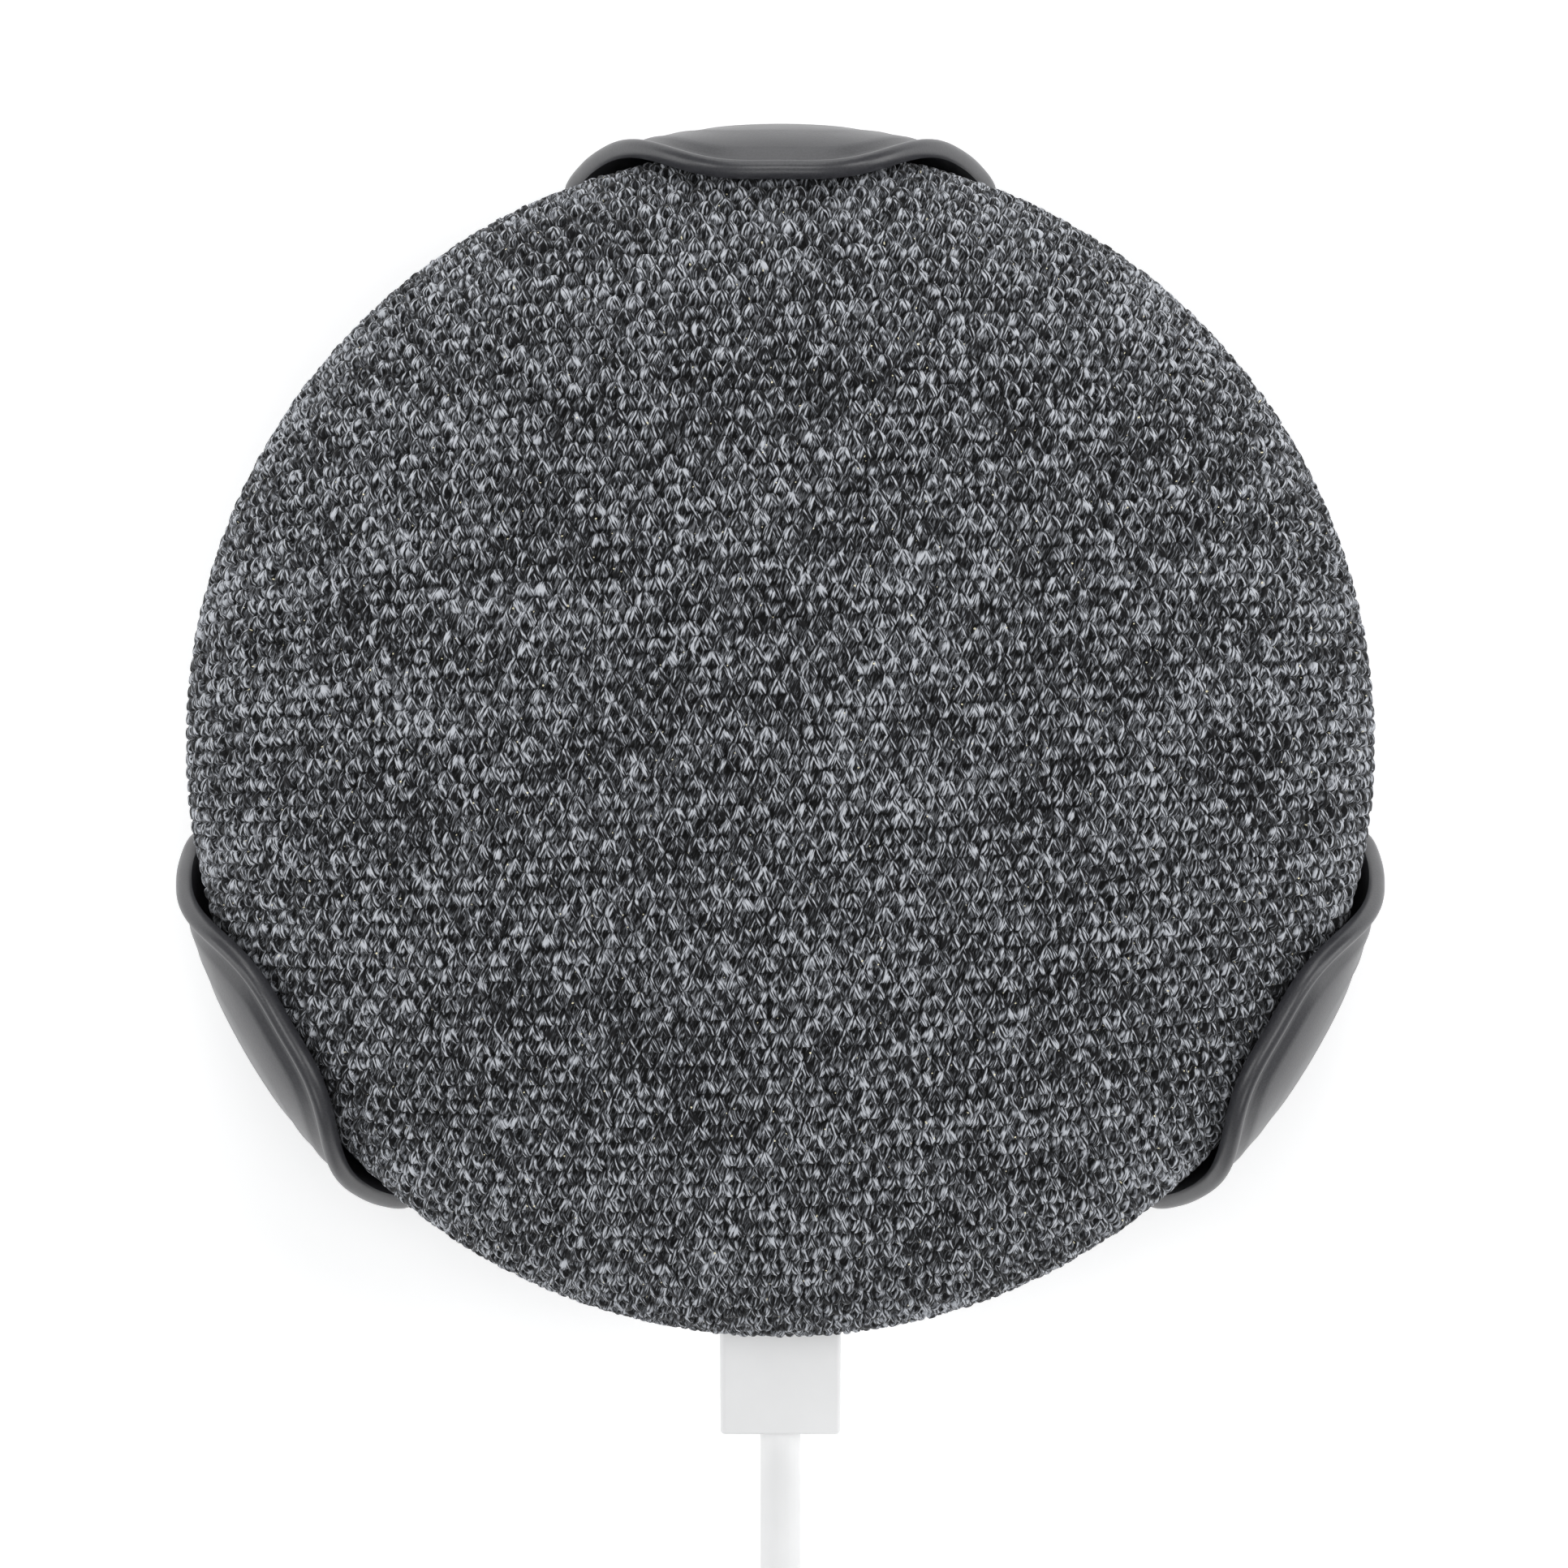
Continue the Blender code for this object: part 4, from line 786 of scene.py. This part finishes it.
def make_cover():
    """The knit cover: every stitch's two legs stand out of one closed sheet."""
    rng = np.random.default_rng(SEED)
    section, skin_length = cover_section()
    step = np.diff(section.along)
    sideways = np.abs(np.diff(section.points[:, 0]))
    reach = np.concatenate([[0.0], np.cumsum(0.6 * step + 0.4 * sideways)])
    limit = reach[-1]

    cell_x, cell_y = STITCH_WIDTH / CELLS_ACROSS, STITCH_ROW / CELLS_UP
    nx, ny = int(limit / cell_x) + 2, int(limit / cell_y) + 2
    xs, ys = np.arange(-nx, nx + 1) * cell_x, np.arange(-ny, ny + 1) * cell_y
    middle_x = (xs[:-1] + xs[1:]) / 2
    middle_y = (ys[:-1] + ys[1:]) / 2
    held = np.hypot(middle_x[None, :], middle_y[:, None]) < limit
    corner = np.arange(len(xs) * len(ys)).reshape(len(ys), len(xs))
    quads = [corner[:-1, :-1], corner[:-1, 1:], corner[1:, 1:], corner[1:, :-1]]
    quads = np.stack([q[held] for q in quads], axis=1)
    used, faces = np.unique(quads, return_inverse=True)
    faces = faces.reshape(-1, 4)
    x = np.tile(xs, len(ys))[used]
    y = np.repeat(ys, len(xs))[used]

    edges = np.concatenate([faces[:, [i, (i + 1) % 4]] for i in range(4)])
    key = np.sort(edges, axis=1) @ np.array([len(used), 1])
    _, first, count = np.unique(key, return_index=True, return_counts=True)
    rim = np.unique(edges[first[count == 1]])
    rim = rim[np.argsort(np.arctan2(y[rim], x[rim]))]

    radius = np.hypot(x, y)
    relief, tone, side = stitch_relief(x, y, rng)
    radius[rim] = limit
    along = np.interp(radius, reach, section.along)
    r, z, out, up = section.at(along)
    fade = np.clip((skin_length - along) / (0.6 * MM), 0.15, 1.0)
    lift = (relief * STITCH_DEPTH - STITCH_DEPTH) * fade + STITCH_PROUD
    lift = np.where(along > skin_length + 0.3 * MM, 0.0, lift)
    turn = np.arctan2(y, x) + LATTICE_TURN
    r, z = r + out * lift, z + up * lift
    points = np.stack([r * np.cos(turn), r * np.sin(turn), z], axis=1)
    slow = patches(x, y, 9 * MM, 2.2 * MM, rng) + 0.8 * patches(x, y, 3 * MM, 1.3 * MM, rng)
    tone = 0.5 + 0.65 * (tone - 0.5) + 0.08 * slow

    inner, rings = 96, 26
    angles = 2 * math.pi * np.arange(inner) / inner - math.pi + LATTICE_TURN
    inner_line = [skin_point(i / rings, True, FABRIC) for i in range(rings)]
    lining = [(r * math.cos(a), r * math.sin(a), z) for r, z in inner_line for a in angles]
    lining.append((0, 0, skin_point(1, True, FABRIC)[1]))
    first = len(points)
    points = np.concatenate([points, np.array(lining)])
    faces = [faces]
    turn_of = np.arctan2(y[rim], x[rim]) + LATTICE_TURN
    triangles = []
    a = b = 0
    loop = first + np.arange(inner)
    while a < len(rim) or b < inner:
        next_a = turn_of[a + 1] if a + 1 < len(rim) else turn_of[0] + 2 * math.pi
        next_b = angles[b + 1] if b + 1 < inner else angles[0] + 2 * math.pi
        at_a, at_b = rim[a % len(rim)], loop[b % inner]
        if b >= inner or (a < len(rim) and next_a <= next_b):
            triangles.append((rim[(a + 1) % len(rim)], at_a, at_b))
            a += 1
        else:
            triangles.append((at_a, at_b, loop[(b + 1) % inner]))
            b += 1
    for ring in range(rings - 1):
        low = first + ring * inner + np.arange(inner)
        high = low + inner
        faces.append(np.stack([np.roll(low, -1), low, high, np.roll(high, -1)], axis=1))
    last = first + (rings - 1) * inner + np.arange(inner)
    triangles += [(after, before, len(points) - 1) for before, after in zip(last, np.roll(last, -1))]

    extra = len(points) - len(x)
    pattern = np.stack([np.concatenate([v, np.zeros(extra)]) / MM for v in (x, y)], axis=1)
    pattern = np.concatenate([pattern, np.zeros((len(points), 1))], axis=1)
    mesh = mesh_of_arrays(points, np.concatenate(faces), np.array(triangles))
    store(mesh, "pattern", pattern, "FLOAT_VECTOR", "vector")
    for name, values, rest in (("relief", relief, 0.4), ("tone", tone, 0.3), ("side", side, 0.5)):
        store(mesh, name, np.concatenate([values, np.full(extra, rest)]), "FLOAT", "value")
    mesh.shade_smooth()
    new_piece("knit_cover", mesh, "hub", "knit", "fabric_cover", smooth=False)


def store(mesh, name, values, kind, key):
    """Keeps a value for each point of the mesh, for its material to read."""
    attribute = mesh.attributes.new(name, kind, "POINT")
    attribute.data.foreach_set(key, values.astype(np.float32).ravel())


def mesh_of_arrays(points, quads, triangles):
    mesh = bpy.data.meshes.new("shape")
    mesh.vertices.add(len(points))
    mesh.vertices.foreach_set("co", points.astype(np.float32).ravel())
    corners = np.concatenate([quads.ravel(), triangles.ravel()]).astype(np.int32)
    mesh.loops.add(len(corners))
    mesh.loops.foreach_set("vertex_index", corners)
    sizes = np.concatenate([np.full(len(quads), 4), np.full(len(triangles), 3)])
    starts = np.concatenate([[0], np.cumsum(sizes)[:-1]]).astype(np.int32)
    mesh.polygons.add(len(sizes))
    mesh.polygons.foreach_set("loop_start", starts)
    mesh.update(calc_edges=True)
    mesh.validate()
    return mesh


# ---------------------------------------------------------------- the wall mount

LIP_RADIUS = 0.85 * MM
LIP_DEPTH = 0.62 * MM
LIP_OFFSET = 1.5 * MM
FACE_OFFSET = 2.0 * MM
INNER_OFFSET = 0.92 * MM
ROOT_OFFSET = 2.75 * MM
ROOT_RADIUS = 28.0 * MM


def claw_section():
    """The skin's line from inside the plate out over the foot, up the belly and on to the dome."""
    count = 200
    foot = [(ROOT_RADIUS + (FOOT_RADIUS - ROOT_RADIUS) * i / 20, HUB_Z + RIM_Z) for i in range(20)]
    belly = [skin_point(1 - i / count, False, 0) for i in range(count)]
    dome = [skin_point(0.75 * i / count, True, 0) for i in range(count + 1)]
    return Section([*foot, *belly, *dome][::-1])


def petal_outline(section):
    """A claw's outline from its left root over the tip to its right root, as (across, along)."""
    drop = CLAW_TIP_Z - CLAW_SHOULDER_Z
    spots = [(-12.6 * MM, None), (-12.7 * MM, 0.8 * MM), (-14.6 * MM, 3.0 * MM)]
    spots += [(-16.4 * MM, 6.2 * MM), (-17.7 * MM, 9.4 * MM)]
    for i in range(15):
        across = -1 + i / 14
        spots.append((CLAW_HALF_WIDTH * across, CLAW_TIP_Z - drop * abs(across) ** CLAW_CROWN_POWER))
    spots += [(-x, z) for x, z in spots[:-1][::-1]]
    heights = section.points[::-1, 1]
    lengths = section.length - section.along[::-1]
    keep = np.concatenate([[True], np.diff(heights) > 1e-9])
    outline = []
    for x, z in spots:
        along = 0.0 if z is None else float(np.interp(HUB_Z + z, heights[keep], lengths[keep]))
        outline.append(Vector((x, along, 0)))
    return outline


def claw_mesh(section):
    """One claw about +X: a curved wall inside its outline, with a rolled lip along the edge."""
    outline = smooth_path(petal_outline(section), 0.7 * MM)
    rings = []
    for i, spot in enumerate(outline):
        before, after = outline[max(i - 1, 0)], outline[min(i + 1, len(outline) - 1)]
        tangent = (after - before).normalized()
        normal = Vector((-tangent.y, tangent.x, 0))
        core = Vector((11.0 * MM * (i / (len(outline) - 1) * 2 - 1), 0, 0))
        line = spot - core
        facing = max(abs(line.normalized() @ normal), 0.35)
        room = line.length * facing
        rings.append(
            [
                claw_point(section, core + line * (1 - depth / room), offset)
                for depth, offset in lip_profile(room)
            ]
        )
    return mesh_of_grid(rings)


def lip_profile(room):
    """Distances from the edge and offsets from the skin, from the inner root round to the outer root."""
    tight = min(1.0, room / (4.5 * MM))
    edge = LIP_DEPTH * tight
    foot = 0.27 * edge
    profile = [(foot + (room - foot) * (1 - i / 12), INNER_OFFSET) for i in range(13)]
    for i in range(17):
        angle = math.radians(-43 + 183 * i / 16)
        depth = edge * (1 - math.cos(angle))
        profile.append((depth, LIP_OFFSET + LIP_RADIUS * math.sin(angle)))
    for depth, drop in ((1.45, 0.34), (1.75, 0.39), (2.1, 0.34), (2.6, 0.10), (3.1, 0.0)):
        profile.append((depth * MM * tight, FACE_OFFSET - drop * MM))
    start = profile[-1][0]
    for i in range(1, 15):
        profile.append((start + (room - start) * i / 14, FACE_OFFSET))
    return profile


def claw_point(section, place, offset):
    """The point off the skin by this much, at a place across and along the claw."""
    r, z, out, up = section.at(section.length - place.y)
    t = min(max((HUB_Z + EQUATOR_Z - z) / (EQUATOR_Z - RIM_Z), 0.0), 1.0)
    if offset >= FACE_OFFSET - 0.4 * MM:
        offset += (ROOT_OFFSET - FACE_OFFSET) * t**1.5
    inside = min(max((FOOT_RADIUS - r) / (FOOT_RADIUS - ROOT_RADIUS), 0.0), 1.0)
    if offset < LIP_OFFSET:
        offset += 0.25 * MM * inside
    radius = r + out * offset
    angle = math.asin(max(-1.0, min(1.0, place.x / (r + out * LIP_OFFSET))))
    return (radius * math.cos(angle), radius * math.sin(angle), z + up * offset)


def make_mount():
    section = claw_section()
    turns = [Matrix.Rotation(math.radians(angle), 4, "Z") for angle in CLAW_ANGLES]
    claws = [moved(claw_mesh(section), turn) for turn in turns]
    outline = ((0, PLATE_TOP), (PLATE_RADIUS, PLATE_TOP), (PLATE_RADIUS, PLATE_LOW), (0, PLATE_LOW))
    edge = [point for point in rounded_section(outline, 0.5 * MM, 5) if point[0] > MM]
    plate = turned_mesh([(0, PLATE_TOP), *edge, (0, PLATE_LOW)], FINE)
    mount = new_piece("claw_mount", plate, "mount", "claw_plastic", "wall_mount")
    boolean(mount, joined(claws), "UNION")
    slope = COUNTERSINK_RADIUS - WALL_SCREW_RADIUS
    hole = [(0.0, PLATE_TOP + MM), (COUNTERSINK_RADIUS + MM, PLATE_TOP + MM)]
    hole += [(WALL_SCREW_RADIUS, PLATE_TOP - slope), (WALL_SCREW_RADIUS, 0.0), (0.0, 0.0)]
    boolean(mount, screw_holes(hole), "DIFFERENCE")


# ---------------------------------------------------------------- the supply lead


def turn_place(turn):
    """A turn's radius and height: down through the layers, in and out across the columns."""
    layer, place = divmod(turn, COIL_COLUMNS)
    column = place if layer % 2 == 0 else COIL_COLUMNS - 1 - place
    radius = COIL_OUTER_TURN - column * TURN_PITCH
    return radius, COIL_FLOOR + CORD_RADIUS + (COIL_LAYERS - 1 - layer) * TURN_PITCH


def coil_points():
    """The coil clockwise from its east side, stepping to the next turn in its last stretch."""
    turns = COIL_COLUMNS * COIL_LAYERS
    end = 360 * (turns - 1) + 285
    step, change = 7.5, 50
    found = []
    for i in range(1, int(end / step)):
        turned = i * step
        turn, within = int(turned // 360), turned % 360
        radius, height = turn_place(turn)
        share = smooth_step((within - (360 - change)) / change)
        if share > 0 and turn + 1 < turns:
            next_radius, next_height = turn_place(turn + 1)
            if next_height != height:
                bulge = 1.5 * MM * math.sin(math.pi * share)
                radius += bulge if radius > COIL_OUTER_TURN - TURN_PITCH else -bulge
            else:
                radius += (next_radius - radius) * share
            height += (next_height - height) * share
        found.append(COIL_CENTRE + round_about(radius, -turned, height))
    return found


def make_cord():
    route = smooth_path([Vector(p) * MM for p in LEAD_ROUTE], 2 * MM)
    route += coil_points()
    route += smooth_path([Vector(p) * MM for p in TAIL_ROUTE], 1.5 * MM)
    curve = bpy.data.curves.new("supply_cord", "CURVE")
    curve.dimensions = "3D"
    curve.bevel_depth = CORD_RADIUS
    curve.bevel_resolution = 6
    curve.use_fill_caps = True
    spline = curve.splines.new("POLY")
    spline.points.add(len(route) - 1)
    for point, place in zip(spline.points, route):
        point.co = (*place, 1)
    spline.use_smooth = True
    stretches = ("power_cord_lead", "cord_coil", "power_cord_tail")
    return new_piece("supply_cord", curve, "hub", "white_cord", *stretches)


def make_plug():
    """The lead's flat moulding: sharp-edged, drawn in slightly towards the cord."""
    low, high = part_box("usb_plug")
    mesh = rounded_block(low, high, "Y", 0.55 * MM, 0.35 * MM, (0.98, 1.0))
    return new_piece("plug_moulding", mesh, "hub", "white_plastic", "usb_plug")


def make_plug_shell():
    """The plug's stamped shell: a folded sleeve, hollowed at its mouth."""
    low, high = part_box("usb_plug_shell")
    mesh = rounded_block(low, high, "Y", 0.4 * MM, 0.12 * MM)
    piece = new_piece("plug_shell", mesh, "hub", "steel", "usb_plug_shell")
    mouth = rounded_block(
        Vector((low.x + 0.3 * MM, high.y - 3.2 * MM, low.z + 0.3 * MM)),
        Vector((high.x - 0.3 * MM, high.y + MM, high.z - 0.3 * MM)),
        "Y",
        0.25 * MM,
        0.1 * MM,
    )
    boolean(piece, mouth, "DIFFERENCE")
    return piece


def make_adapter():
    """The plug-in adapter: two half shells that meet at a fine groove, round edges, a recessed face."""
    low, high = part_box("power_adapter")
    middle = (low.y + high.y) / 2
    groove, depth = 0.35 * MM, 0.3 * MM
    corner, edge = 5.0 * MM, 2.2 * MM
    size = high - low
    centre = (low + high) / 2
    sections = edge_rows(low.y, edge, 7)
    for i in range(7):
        sections.append((low.y + edge + (middle - groove - low.y - edge) * (i + 1) / 7, 0.0))
    sections += [(middle - groove / 3, depth), (middle + groove / 3, depth), (middle + groove, 0.0)]
    for i in range(6):
        sections.append((middle + groove + (high.y - edge - middle - groove) * (i + 1) / 7, 0.0))
    sections += edge_rows(high.y, -edge, 7)[::-1]
    rings = []
    for y, inset in sections:
        outline = rounded_rectangle(
            size.x - 2 * inset, size.z - 2 * inset, max(corner - inset, MM), steps=10
        )
        rings.append([(centre.x + u, y, centre.z + v) for u, v in outline])
    mesh = mesh_of_grid(rings)
    piece = new_piece("adapter_case", mesh, "hub", "white_plastic", "power_adapter")
    inset = Vector((4.0 * MM, 0, 4.0 * MM))
    recess = rounded_block(
        Vector((low.x, low.y - MM, low.z)) + inset,
        Vector((high.x, low.y + 0.35 * MM, high.z)) - inset,
        "Y",
        3.0 * MM,
        0.3 * MM,
    )
    boolean(piece, recess, "DIFFERENCE")
    return piece


def make_blades():
    """The adapter's two flat blades, with rounded corners and a hole near the end of each."""
    pieces = []
    for side in ("left", "right"):
        name = f"adapter_blade_{side}"
        low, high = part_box(name)
        mesh = rounded_block(low, high, "Y", 0.35 * MM, 0.45 * MM)
        piece = new_piece(f"blade_{side}", mesh, "hub", "steel", name)
        middle = (low + high) / 2
        bore = turned_mesh([(0, -4 * MM), (1.6 * MM, -4 * MM), (1.6 * MM, 4 * MM), (0, 4 * MM)], 32)
        place = Matrix.Translation((middle.x, low.y + 3.4 * MM, middle.z))
        boolean(piece, moved(bore, place @ Matrix.Rotation(math.pi / 2, 4, "Y")), "DIFFERENCE")
        pieces.append(piece)
    return pieces


def make_relief():
    """The adapter's strain relief: a tapered sleeve with cut rings, round the cord's end."""
    low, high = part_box("strain_relief")
    y, z = (low.y + high.y) / 2, (low.z + high.z) / 2
    length, root, tip = high.x - low.x, (high.z - low.z) / 2, 1.95 * MM
    outline = [(0.0, 0.0), (tip - 0.3 * MM, 0.0)]
    count = 90
    for i in range(count + 1):
        share = i / count
        radius = tip + (root - tip) * share**1.4
        wave = (share * 6) % 1.0
        cut = 0.55 * MM if 0.08 < share < 0.86 and wave < 0.38 else 0.0
        outline.append((radius - cut, length * share))
    outline.append((0.0, length))
    mesh = turned_mesh(outline, 48)
    place = Matrix.Translation((low.x, y, z)) @ Matrix.Rotation(math.pi / 2, 4, "Y")
    return new_piece("relief_sleeve", moved(mesh, place), "hub", "white_plastic", "strain_relief")


def make_tie():
    """The hook-and-loop strap round the coil's bundle: a soft closed band with a faint ripple."""
    low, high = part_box("cord_tie")
    middle = (low + high) / 2
    half_y, half_z, soft = (high.y - low.y) / 2, (high.z - low.z) / 2, 2.4 * MM
    thick, wide = 0.45 * MM, (high.x - low.x) / 2
    path = rounded_rectangle(2 * half_y, 2 * half_z, soft, steps=10)
    count = len(path)
    rings = []
    for i in range(count):
        here = Vector(path[i])
        before, after = Vector(path[i - 1]), Vector(path[(i + 1) % count])
        along = (after - before).normalized()
        inward = Vector((-along.y, along.x))
        ripple = 0.05 * MM * math.sin(i * 1.9)
        inner = here + inward * thick
        outer = here + inward * (0.05 * MM + ripple)
        corners = ((-wide, outer), (wide, outer), (wide, inner), (-wide, inner))
        rings.append([(middle.x + x, middle.y + p.x, middle.z + p.y) for x, p in corners])
    return new_piece("strap_tie", mesh_of_grid(rings, True), "hub", "black_tie", "cord_tie")


# ---------------------------------------------------------------- the hub's rear


def switch_turn():
    """From the switch's own frame, +Y outwards, to its place round the belly."""
    turn = Matrix.Rotation(math.radians(SWITCH_ANGLE - 90), 4, "Z")
    return turn @ Matrix.Rotation(-SWITCH_LEAN, 4, "X")


def screw_holes(section):
    """One mesh of the three wall screws' holes, each turned from this section."""
    places = [Matrix.Translation(round_about(WALL_SCREW_CIRCLE, a)) for a in WALL_SCREW_ANGLES]
    return joined([moved(turned_mesh(section, 48), place) for place in places])


def make_rear():
    """The rear housing: the lower skin, its floor, the port, the switch's window and the reset hole."""
    edge = SEAM_Z - GAP / 2
    steps = 48
    start = belly_t(edge)
    outer = [skin_point(start + (1 - start) * i / steps, False, 0) for i in range(steps + 1)]
    inner = [skin_point(start + (1 - start) * i / steps, False, HOUSING) for i in range(steps + 1)]
    floor = HUB_Z + FLOOR_Z
    inner = [(r, z) for r, z in inner if z > floor + 0.4 * MM]
    ledge, foot_top = FOOT_RADIUS - GAP, HUB_Z + 1.5 * MM + GAP
    soft = 0.25 * MM
    rim = [(ledge, HUB_Z + RIM_Z + soft), (ledge, foot_top)]
    lip = [(inner[0][0] + soft, HUB_Z + edge), (outer[0][0] - soft, HUB_Z + edge)]
    section = [(0.0, floor), (34 * MM, floor), *inner[::-1], *lip, *outer[1:], *rim, (0.0, foot_top)]
    mesh = turned_mesh(section, 180)
    piece = new_piece("rear_case", mesh, "hub", "housing_plastic", "rear_housing")
    height = Matrix.Translation((0, 0, HUB_Z))
    bosses, bores = [], []
    for angle in CASE_SCREW_ANGLES:
        place = height @ Matrix.Translation(round_about(CASE_SCREW_CIRCLE, angle))
        boss = [(0, 3.1 * MM), (3.6 * MM, 3.1 * MM), (3.6 * MM, 6.3 * MM), (0, 6.3 * MM)]
        bosses.append(moved(turned_mesh(boss, 40), place))
        bore = [(0, 0), (2.6 * MM, 0), (2.6 * MM, 3.4 * MM), (1.6 * MM, 3.4 * MM)]
        bore += [(1.6 * MM, 8 * MM), (0, 8 * MM)]
        bores.append(moved(turned_mesh(bore, 40), place))
    boolean(piece, joined(bosses), "UNION")
    port = HUB_Z + PORT_Z
    bores.append(
        rounded_block(
            Vector((-5.5 * MM, -54 * MM, port - 3.5 * MM)),
            Vector((5.5 * MM, -38 * MM, port + 3.5 * MM)),
            "Y",
            1.4 * MM,
            0.3 * MM,
        )
    )
    reset = [(0, -MM), (1.9 * MM, -MM), (1.9 * MM, 4.8 * MM), (0, 4.8 * MM)]
    bores.append(moved(turned_mesh(reset, 40), height @ Matrix.Translation((0, -RESET_RADIUS, 0))))
    skin = skin_point(belly_t(PORT_Z), False, 0)
    place = Matrix.Translation(round_about(skin[0], SWITCH_ANGLE, skin[1])) @ switch_turn()
    half = Vector((4.5, 4.0, 1.9)) * MM
    window = rounded_block(Vector((0, MM, 0)) - half, Vector((0, MM, 0)) + half, "Y", 1.2 * MM, 0.2 * MM)
    bores.append(moved(window, place))
    for bore in bores:
        boolean(piece, bore, "DIFFERENCE")


def make_slider():
    """The microphone switch's slider: a ribbed key that rides along X in the switch's own frame."""
    low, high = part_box("mic_switch_slider")
    place = Matrix.Translation((low + high) / 2) @ switch_turn()
    half = Vector((2.3, 1.3, 1.6)) * MM
    mesh = rounded_block(-half, half, "Y", 0.5 * MM, 0.3 * MM)
    piece = new_piece(
        "switch_key", moved(mesh, place), "mic_switch", "white_plastic", "mic_switch_slider"
    )
    grooves = []
    for i in range(5):
        x = (i - 2) * 0.7 * MM
        size = Vector((0.14, 0.25, 1.1)) * MM
        spot = Vector((x, half.y, 0))
        grooves.append(rounded_block(spot - size, spot + size, "Z", 0.05 * MM, 0.05 * MM))
    boolean(piece, moved(joined(grooves), place), "DIFFERENCE")


def make_foot():
    """The silicone foot ring: a soft disc with a rounded edge and fine raised rings for grip."""
    low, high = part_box("silicone_foot")
    radius, top, base = (high.x - low.x) / 2, high.z, low.z
    outline = rounded_section(((0, top), (radius, top), (radius, base), (0, base)), 0.5 * MM, 5)
    edge = [point for point in outline if point[0] > MM]
    grip = []
    for i in range(14):
        r = radius - 1.6 * MM - i * 0.9 * MM
        grip += [(r, base), (r - 0.15 * MM, base + 0.25 * MM), (r - 0.35 * MM, base + 0.25 * MM)]
        grip.append((r - 0.5 * MM, base))
    mesh = turned_mesh([(0, top), *edge, *grip, (0, base)], FINE)
    new_piece("foot_ring", mesh, "hub", "silicone", "silicone_foot")


def make_pad():
    """The foam-tape pad: a die-cut disc with an uneven cut edge and the three screws' clearance holes."""
    low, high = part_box("adhesive_pad")
    radius = (high.x - low.x) / 2
    outline = [(0, high.z), (radius - 0.12 * MM, high.z), (radius, high.z - 0.12 * MM)]
    outline += [(radius - 0.06 * MM, (low.z + high.z) / 2), (radius, low.z + 0.12 * MM)]
    outline += [(radius - 0.12 * MM, low.z), (0, low.z)]
    piece = new_piece("tape_pad", turned_mesh(outline, FINE), "mount", "pad_foam", "adhesive_pad")
    hole = [(0, -MM), (COUNTERSINK_RADIUS, -MM), (COUNTERSINK_RADIUS, 2 * MM), (0, 2 * MM)]
    boolean(piece, screw_holes(hole), "DIFFERENCE")


def finish_nodes():
    """The carried-over CAD pieces take their slot's material."""
    slots = {row["node"]: row["material_slot"] for row in frame["record"]["subparts"]}
    for name, node in frame["nodes"].items():
        if isinstance(node.data, bpy.types.Mesh) and name in slots:
            node.data.materials.clear()
            node.data.materials.append(finish_of(slots[name]))


def main():
    make_camera()
    make_stage()
    cord = make_cord()
    on_cord = [make_plug(), make_plug_shell(), make_adapter(), *make_blades(), make_relief(), make_tie()]
    make_cover()
    make_mount()
    make_rear()
    make_slider()
    make_foot()
    make_pad()
    finish_nodes()


main()
